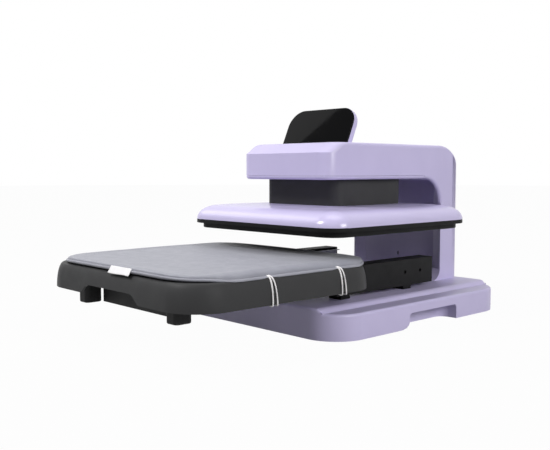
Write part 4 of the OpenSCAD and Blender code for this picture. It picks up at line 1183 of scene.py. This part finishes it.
@dataclass
class PressMat:
    """Padded silver mat with its elastic loops and its blank tag."""

    corner: float = 78.0
    rear_corner: float = 48.0
    start_inset: float = 2.0
    start_height: float = 9.5
    voxel: float = 5.0
    pressure: float = 4.0
    frames: int = 20
    most_moved: float = 3.0
    free_rim: float = 12.0
    soft_rim: float = 46.0
    swell: float = 0.4
    clear: float = 0.2
    pull: float = 2.2
    pull_width: float = 14.0
    bend_width: float = 20.0
    bend_start: float = 100.0
    bend_drop: float = 5.0
    bend_out: float = 4.0
    lift: float = 2.2
    lift_width: float = 30.0
    piping: float = 2.3
    piping_height: float = 3.4
    piping_inset: float = 1.2
    piping_step: float = 8.0
    elastic: float = 2.6
    elastic_gap: float = 0.5
    strand_side: float = 1.6
    strand_fan: float = 4.4
    loop_front: float = 156.0
    loop_step: float = 155.0
    skirt: float = 42.0
    lean: float = 12.0
    tray_wall: float = 4.0
    tag_width: float = 60.0
    tag_length: float = 13.0
    tag_middle: float = 29.0
    tag_slope: float = 58.0
    tag_out: float = 0.2
    tag_up: float = 1.6
    tag_wave: float = 0.35
    tag_wave_run: float = 9.0
    tag_thickness: float = 0.5

    def loop_places(self) -> tuple[float, float]:
        """Give the places of the front and the rear loops along the machine."""
        front = Bench.span("tray_shell")[0].y + self.loop_front
        return front, front + self.loop_step

    def build(self) -> None:
        """Build mat, loops and tag."""
        self.build_mat()
        self.build_loops()
        self.build_tag()

    def build_mat(self) -> None:
        """Blow the mat up from a thin slab, roll its rim and lay it over the tray."""
        at = Bench.at
        low, high = Bench.span("press_mat")
        inset = self.start_inset
        x, front, back = high.x - inset, low.y + inset, high.y - inset
        mat = Work.block("padded_mat", at(-x, front, low.z), at(x, back, low.z + self.start_height))
        middle, rear = at(0, (low.y + high.y) / 2, 0).y, at(0, back, 0).y
        mat.bevel(mm(self.corner - inset), 8, lambda e: upright(e) and e.verts[0].co.y < middle)
        mat.bevel(mm(self.rear_corner - inset), 8, lambda e: upright(e) and abs(e.verts[0].co.y - rear) < NEAR)
        mat.obj.data.remesh_voxel_size = mm(self.voxel)
        mat.focus()
        bpy.ops.object.voxel_remesh()
        self.inflate(mat)
        detail = mat.obj.modifiers.new("finer", "SUBSURF")
        detail.levels = detail.render_levels = 1
        mat.apply(detail)
        piping = self.build_piping()
        mat.focus()
        piping.obj.select_set(True)
        bpy.ops.object.join()
        self.drape(mat)
        mat.focus()
        bpy.ops.object.shade_smooth()
        mat.fit("drawer", SILVER_CLOTH, "press_mat")

    def build_piping(self) -> Work:
        """Run the sewn roll of the rim round the mat."""
        low, high = Bench.span("press_mat")
        inset = self.piping_inset
        x, front, back = high.x - inset, low.y + inset, high.y - inset
        z = low.z + self.piping_height
        ring = []
        for turn, (across, along) in enumerate(((1, 1), (-1, 1), (-1, -1), (1, -1))):
            r = self.rear_corner if along > 0 else self.corner
            cx, cy = across * (x - r), (back - r if along > 0 else front + r)
            angles = [math.radians(90 * turn + 6 * k) for k in range(16)]
            ring += [(cx + r * math.cos(a), cy + r * math.sin(a)) for a in angles]
        route = []
        for (ax, ay), (bx, by) in zip(ring, ring[1:] + ring[:1]):
            steps = max(round(math.hypot(bx - ax, by - ay) / self.piping_step), 1)
            route += [(ax + (bx - ax) * k / steps, ay + (by - ay) * k / steps, z) for k in range(steps)]
        return cords("piping", self.piping, [route], ring=True)

    def drape(self, mat: Work) -> None:
        """Bend the sides over the tray's shoulders, draw them in at the loops and let the front edge stand up.

        Args:
            mat: The mat with its piping.
        """
        low, high = Bench.span("press_mat")
        tray_high = Bench.span("tray_shell")[1]
        places = self.loop_places()

        def shoulder(x: float) -> float:
            """Give the height of the tray's top at a distance from its middle."""
            share = min(max((tray_high.x - x) / self.lean, 0.0), 1.0)
            return tray_high.z - self.skirt * (1 - math.sqrt(1 - (1 - share) ** 2))

        mesh = mat.edit("VERT")
        for vertex in mesh.verts:
            x, y = abs(vertex.co.x) * 1000, (vertex.co.y - Bench.middle) * 1000
            z = min(max((vertex.co.z - Bench.rim) * 1000, low.z), high.z + self.swell)
            away = min(max((y - low.y) / self.bend_start, 0.0), 1.0)
            side = max((x - high.x + self.bend_width) / self.bend_width, 0.0)
            bend = side ** 2 * away * away * (3 - 2 * away)
            pull = sum(math.exp(-((y - p) / self.pull_width) ** 2) for p in places)
            front = max((low.y + self.lift_width - y) / self.lift_width, 0.0) ** 2
            x += bend * self.bend_out - self.pull * pull * min(x / high.x, 1.0) ** 8
            z = max(z + self.lift * front - bend * (self.bend_drop + pull), shoulder(x) + self.clear)
            vertex.co = Bench.at(math.copysign(x, vertex.co.x), y, z)
        bmesh.update_edit_mesh(mat.obj.data)
        mat.done()

    def inflate(self, mat: Work) -> None:
        """Blow up the mat's rim with cloth under pressure, its middle held flat.

        Args:
            mat: The thin slab.
        """
        obj = mat.obj
        start = [v.co.copy() for v in obj.data.vertices]
        low, high = Bench.span("press_mat")
        group = obj.vertex_groups.new(name="held")
        for vertex in obj.data.vertices:
            x, y = vertex.co.x * 1000, (vertex.co.y - Bench.middle) * 1000
            inside = min(high.x - abs(x), y - low.y, high.y - y)
            held = min(max((inside - self.free_rim) / self.soft_rim, 0.0), 1.0)
            group.add([vertex.index], held, "REPLACE")
        cloth = obj.modifiers.new("cloth", "CLOTH")
        cloth.settings.quality = 5
        cloth.settings.use_pressure = True
        cloth.settings.uniform_pressure_force = self.pressure
        cloth.settings.vertex_group_mass = "held"
        cloth.settings.effector_weights.gravity = 0.0
        cloth.point_cache.frame_start = 1
        cloth.point_cache.frame_end = self.frames
        for number in range(1, self.frames + 1):
            bpy.context.scene.frame_set(number)
        mat.apply(cloth)
        bpy.context.scene.frame_set(1)
        for vertex, old in zip(obj.data.vertices, start):
            way = vertex.co - old
            if way.length > mm(self.most_moved):
                vertex.co = old + way.normalized() * mm(self.most_moved)
        obj.vertex_groups.clear()

    def build_loops(self) -> None:
        """Lay four elastic loops from the mat down the skirt and round its lower edge."""
        high = Bench.span("tray_shell")[1]
        half, skirt = high.x, high.z - self.skirt
        gap = self.elastic / 2 + self.elastic_gap
        mat_low, mat_high = Bench.span("press_mat")
        down = [(mat_high.x - 2.0, mat_low.z + 1.0)]
        for a in (math.radians(degrees) for degrees in (75, 60, 45, 30, 15, 0)):
            down.append((half - self.lean * (1 - math.cos(a)) + gap * math.cos(a),
                         skirt + self.skirt * math.sin(a) + gap * math.sin(a)))
        inner = half - self.tray_wall
        down += [(half + gap * 0.7, skirt - gap * 0.7), (half - self.tray_wall / 2, skirt - gap),
                 (inner - gap * 0.8, skirt - gap * 0.6), (inner - gap - 0.3, skirt + 4)]
        count = len(down)
        end_x, end_z = down[-1]
        hook = ((-3.4, 3, 0.6), (0, 4.2, 0.8), (3.4, 3, 0.6))
        near, fan = self.strand_side, self.strand_fan
        routes = []
        for side in (-1, 1):
            for y in self.loop_places():
                route = [(x, y - near - fan * k / count, z) for k, (x, z) in enumerate(down)]
                route += [(end_x - back, y + along, end_z + rise) for along, rise, back in hook]
                route += [(x, y + near + fan * k / count + near * math.sin(math.pi * k / count), z)
                          for k, (x, z) in reversed(list(enumerate(down)))]
                routes.append([(side * x, py, z) for x, py, z in route])
        loops = cords("elastic_strands", self.elastic / 2, routes)
        bpy.ops.object.shade_smooth()
        loops.fit("drawer", WHITE_ELASTIC, "elastic_loops")

    def build_tag(self) -> None:
        """Hang the blank tag out of the mat's front edge, over the tray."""
        high = Bench.span("mat_tag")[1]
        deselect()
        bpy.ops.mesh.primitive_grid_add(x_subdivisions=16, y_subdivisions=8, size=1.0)
        tag = Work.started("blank_tag", Vector((mm(self.tag_width), mm(self.tag_length), 1.0)))
        mesh = tag.edit("VERT")
        steep = math.radians(self.tag_slope)
        for vertex in mesh.verts:
            along = 0.5 - vertex.co.y * 1000 / self.tag_length
            across = vertex.co.x * 1000
            reach = along * self.tag_length
            wave = self.tag_wave * math.sin(across / self.tag_wave_run) * along
            vertex.co = Bench.at(self.tag_middle + across, high.y + self.tag_out - reach * math.cos(steep),
                                 high.z + self.tag_up - reach * math.sin(steep) + wave)
        bmesh.update_edit_mesh(tag.obj.data)
        tag.done()
        thick = tag.obj.modifiers.new("thickness", "SOLIDIFY")
        thick.thickness = mm(self.tag_thickness)
        thick.offset = 0.0
        tag.apply(thick)
        tag.focus()
        bpy.ops.object.shade_smooth()
        tag.fit("drawer", TAG_TAPE, "mat_tag")


class SoftenedPieces:
    """Pieces of the drawer slides and of the column's back, whose edges are only softened."""

    # Nodes, body, finish, width of the soft edges in millimetres, faces in them, ending of the pieces' names
    groups: tuple[tuple[str, str, Finish, float, int, str], ...] = (
        ("rail_box_left rail_box_right", "frame", BLACK_STEEL, 1.4, 3, "_sheet"),
        ("rail_spacers", "frame", BLACK_PLASTIC, 0.8, 2, "_blocks"),
        ("slide_outer_left slide_outer_right", "frame", STEEL, 0.4, 2, "_sheet"),
        ("slide_middle_left slide_middle_right", "slide_middle", STEEL, 0.4, 2, "_sheet"),
        ("slide_inner_left slide_inner_right drawer_brackets", "drawer", STEEL, 0.4, 2, "_sheet"),
        ("rear_cover", "frame", LILAC, 0.5, 2, "_piece"),
        ("power_inlet", "frame", BLACK_PLASTIC, 0.5, 2, "_piece"),
        ("switch_bezel", "frame", BLACK_PLASTIC, 0.6, 2, "_piece"),
        ("power_rocker", "rocker", BLACK_PLASTIC, 0.5, 2, "_piece"),
        ("rear_cover_screws", "frame", STEEL, 0.4, 2, "_piece"),
        ("rubber_feet", "frame", RUBBER, 1.0, 2, "_piece"),
    )

    def build(self) -> None:
        """Soften the edges of each piece and dress it."""
        for nodes, body, finish, width, segments, ending in self.groups:
            for node in nodes.split():
                name = (node + ending).replace("spacers_", "spacer_")
                Work.soft_copy(node, name, width, segments).fit(body, finish, node)


class InnerWorks:
    """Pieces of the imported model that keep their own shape."""

    def build(self) -> None:
        """Dress each node that is still shown in the finish of its slot."""
        slots = {part["node"]: part["material_slot"] for part in frame["record"]["subparts"]}
        for name, obj in frame["nodes"].items():
            if not obj.hide_render:
                BY_SLOT[slots[name]].dress(obj)


@dataclass
class Studio:
    """Floor, light and camera."""

    place: Place = (1055.5, -1126.0, 285.1)
    azimuth: float = 47.2
    pitch: float = 4.1
    lens: float = 49.83
    sensor: float = 36.0
    world: float = 0.13
    floor_glow: float = 0.975
    floor_radius: float = 14.0
    floor_drop: float = 0.0005
    # Name, where it hangs and what it faces in metres, side of its square face in metres, watts
    lamps: tuple[tuple[str, Place, Place, float, float], ...] = (
        ("top_light", (-0.1, 0.3, 2.4), (0.0, 0.0, 0.2), 1.2, 10.0),
        ("front_light", (-0.8, -1.9, 2.2), (0.0, 0.0, 0.25), 0.9, 64.0),
        ("side_light", (2.6, 0.0, 1.2), (0.0, 0.1, 0.25), 1.0, 46.0),
        ("left_light", (-1.74, -0.39, 1.63), (0.0, 0.07, 0.37), 1.1, 9.0),
    )

    def build(self) -> None:
        """Set up the camera, the floor and the lamps."""
        scene = bpy.context.scene
        scene.view_settings.view_transform = "Standard"
        self.build_camera(scene)
        self.build_world(scene)
        self.build_floor()
        for name, place, target, size, power in self.lamps:
            data = bpy.data.lights.new(name, "AREA")
            data.shape = "SQUARE"
            data.size = size
            data.energy = power
            lamp = bpy.data.objects.new(name, data)
            scene.collection.objects.link(lamp)
            lamp.location = place
            lamp.rotation_euler = (Vector(target) - Vector(place)).to_track_quat("-Z", "Y").to_euler()

    def build_camera(self, scene: bpy.types.Scene) -> None:
        """Stand the camera where the photograph was taken from."""
        data = bpy.data.cameras.new("photo_camera")
        data.lens = self.lens
        data.sensor_width = self.sensor
        data.sensor_fit = "HORIZONTAL"
        camera = bpy.data.objects.new("photo_camera", data)
        scene.collection.objects.link(camera)
        camera.location = Bench.at(*self.place)
        turn, tilt = math.radians(self.azimuth), math.radians(self.pitch)
        level = math.cos(tilt)
        way = Vector((-math.sin(turn) * level, math.cos(turn) * level, -math.sin(tilt)))
        camera.rotation_euler = way.to_track_quat("-Z", "Y").to_euler()
        scene.camera = camera

    def build_world(self, scene: bpy.types.Scene) -> None:
        """Make the background white to the eye and in gloss, and softer as light."""
        world = bpy.data.worlds.new("studio_world")
        scene.world = world
        world.use_nodes = True
        tree = world.node_tree
        tree.nodes.clear()
        lit, seen = (
            add_node(tree, "ShaderNodeBackground", {"Color": (1, 1, 1, 1), "Strength": strength}).outputs[0]
            for strength in (self.world, 1.0))
        mix = joined(tree, "ShaderNodeMixShader", {}, self.seen_directly(tree), lit, seen)
        add_node(tree, "ShaderNodeOutputWorld", {}, {"Surface": mix})

    def seen_directly(self, tree: Tree) -> Socket:
        """Tell the rays that look, also in gloss and through glass, from those that carry light.

        Args:
            tree: Node tree of the background or of the floor.

        Returns:
            Output that is 1 for a ray that looks and 0 for one that lights.
        """
        rays = add_node(tree, "ShaderNodeLightPath", {}).outputs
        looks = rays["Is Camera Ray"]
        for name in ("Is Glossy Ray", "Is Transmission Ray"):
            looks = joined(tree, "ShaderNodeMath", {"operation": "MAXIMUM"}, looks, rays[name])
        return looks

    def build_floor(self) -> None:
        """Lay a large pale floor that keeps a soft shadow."""
        deselect()
        bpy.ops.mesh.primitive_circle_add(
            vertices=64, radius=self.floor_radius, fill_type="NGON", location=(0.0, 0.0, -self.floor_drop))
        floor = bpy.context.active_object
        floor.name = "studio_floor"
        made = bpy.data.materials.new("matt_white_floor")
        made.use_nodes = True
        tree = made.node_tree
        shader = tree.nodes["Principled BSDF"]
        shader.inputs["Base Color"].default_value = linear("#8A8A8A")
        shader.inputs["Roughness"].default_value = 0.9
        glow = add_node(tree, "ShaderNodeEmission", {"Color": (1, 1, 1, 1), "Strength": 1.0})
        share = add_node(tree, "ShaderNodeMath", {"operation": "MULTIPLY"})
        share.inputs[1].default_value = self.floor_glow
        tree.links.new(self.seen_directly(tree), share.inputs[0])
        mix = joined(tree, "ShaderNodeMixShader", {}, share.outputs[0], shader.outputs[0], glow.outputs[0])
        tree.links.new(mix, tree.nodes["Material Output"].inputs["Surface"])
        floor.data.materials.append(made)


def main() -> None:
    """Build the studio and the press."""
    logging.basicConfig(level=logging.INFO, format="%(message)s")
    Studio().build()
    for kind in (Base, ColumnAndHead, TouchScreen, Platen, DrawerTray, PressMat, SoftenedPieces, InnerWorks):
        log.info("building %s", kind.__name__)
        kind().build()


if __name__ == "__main__":
    main()
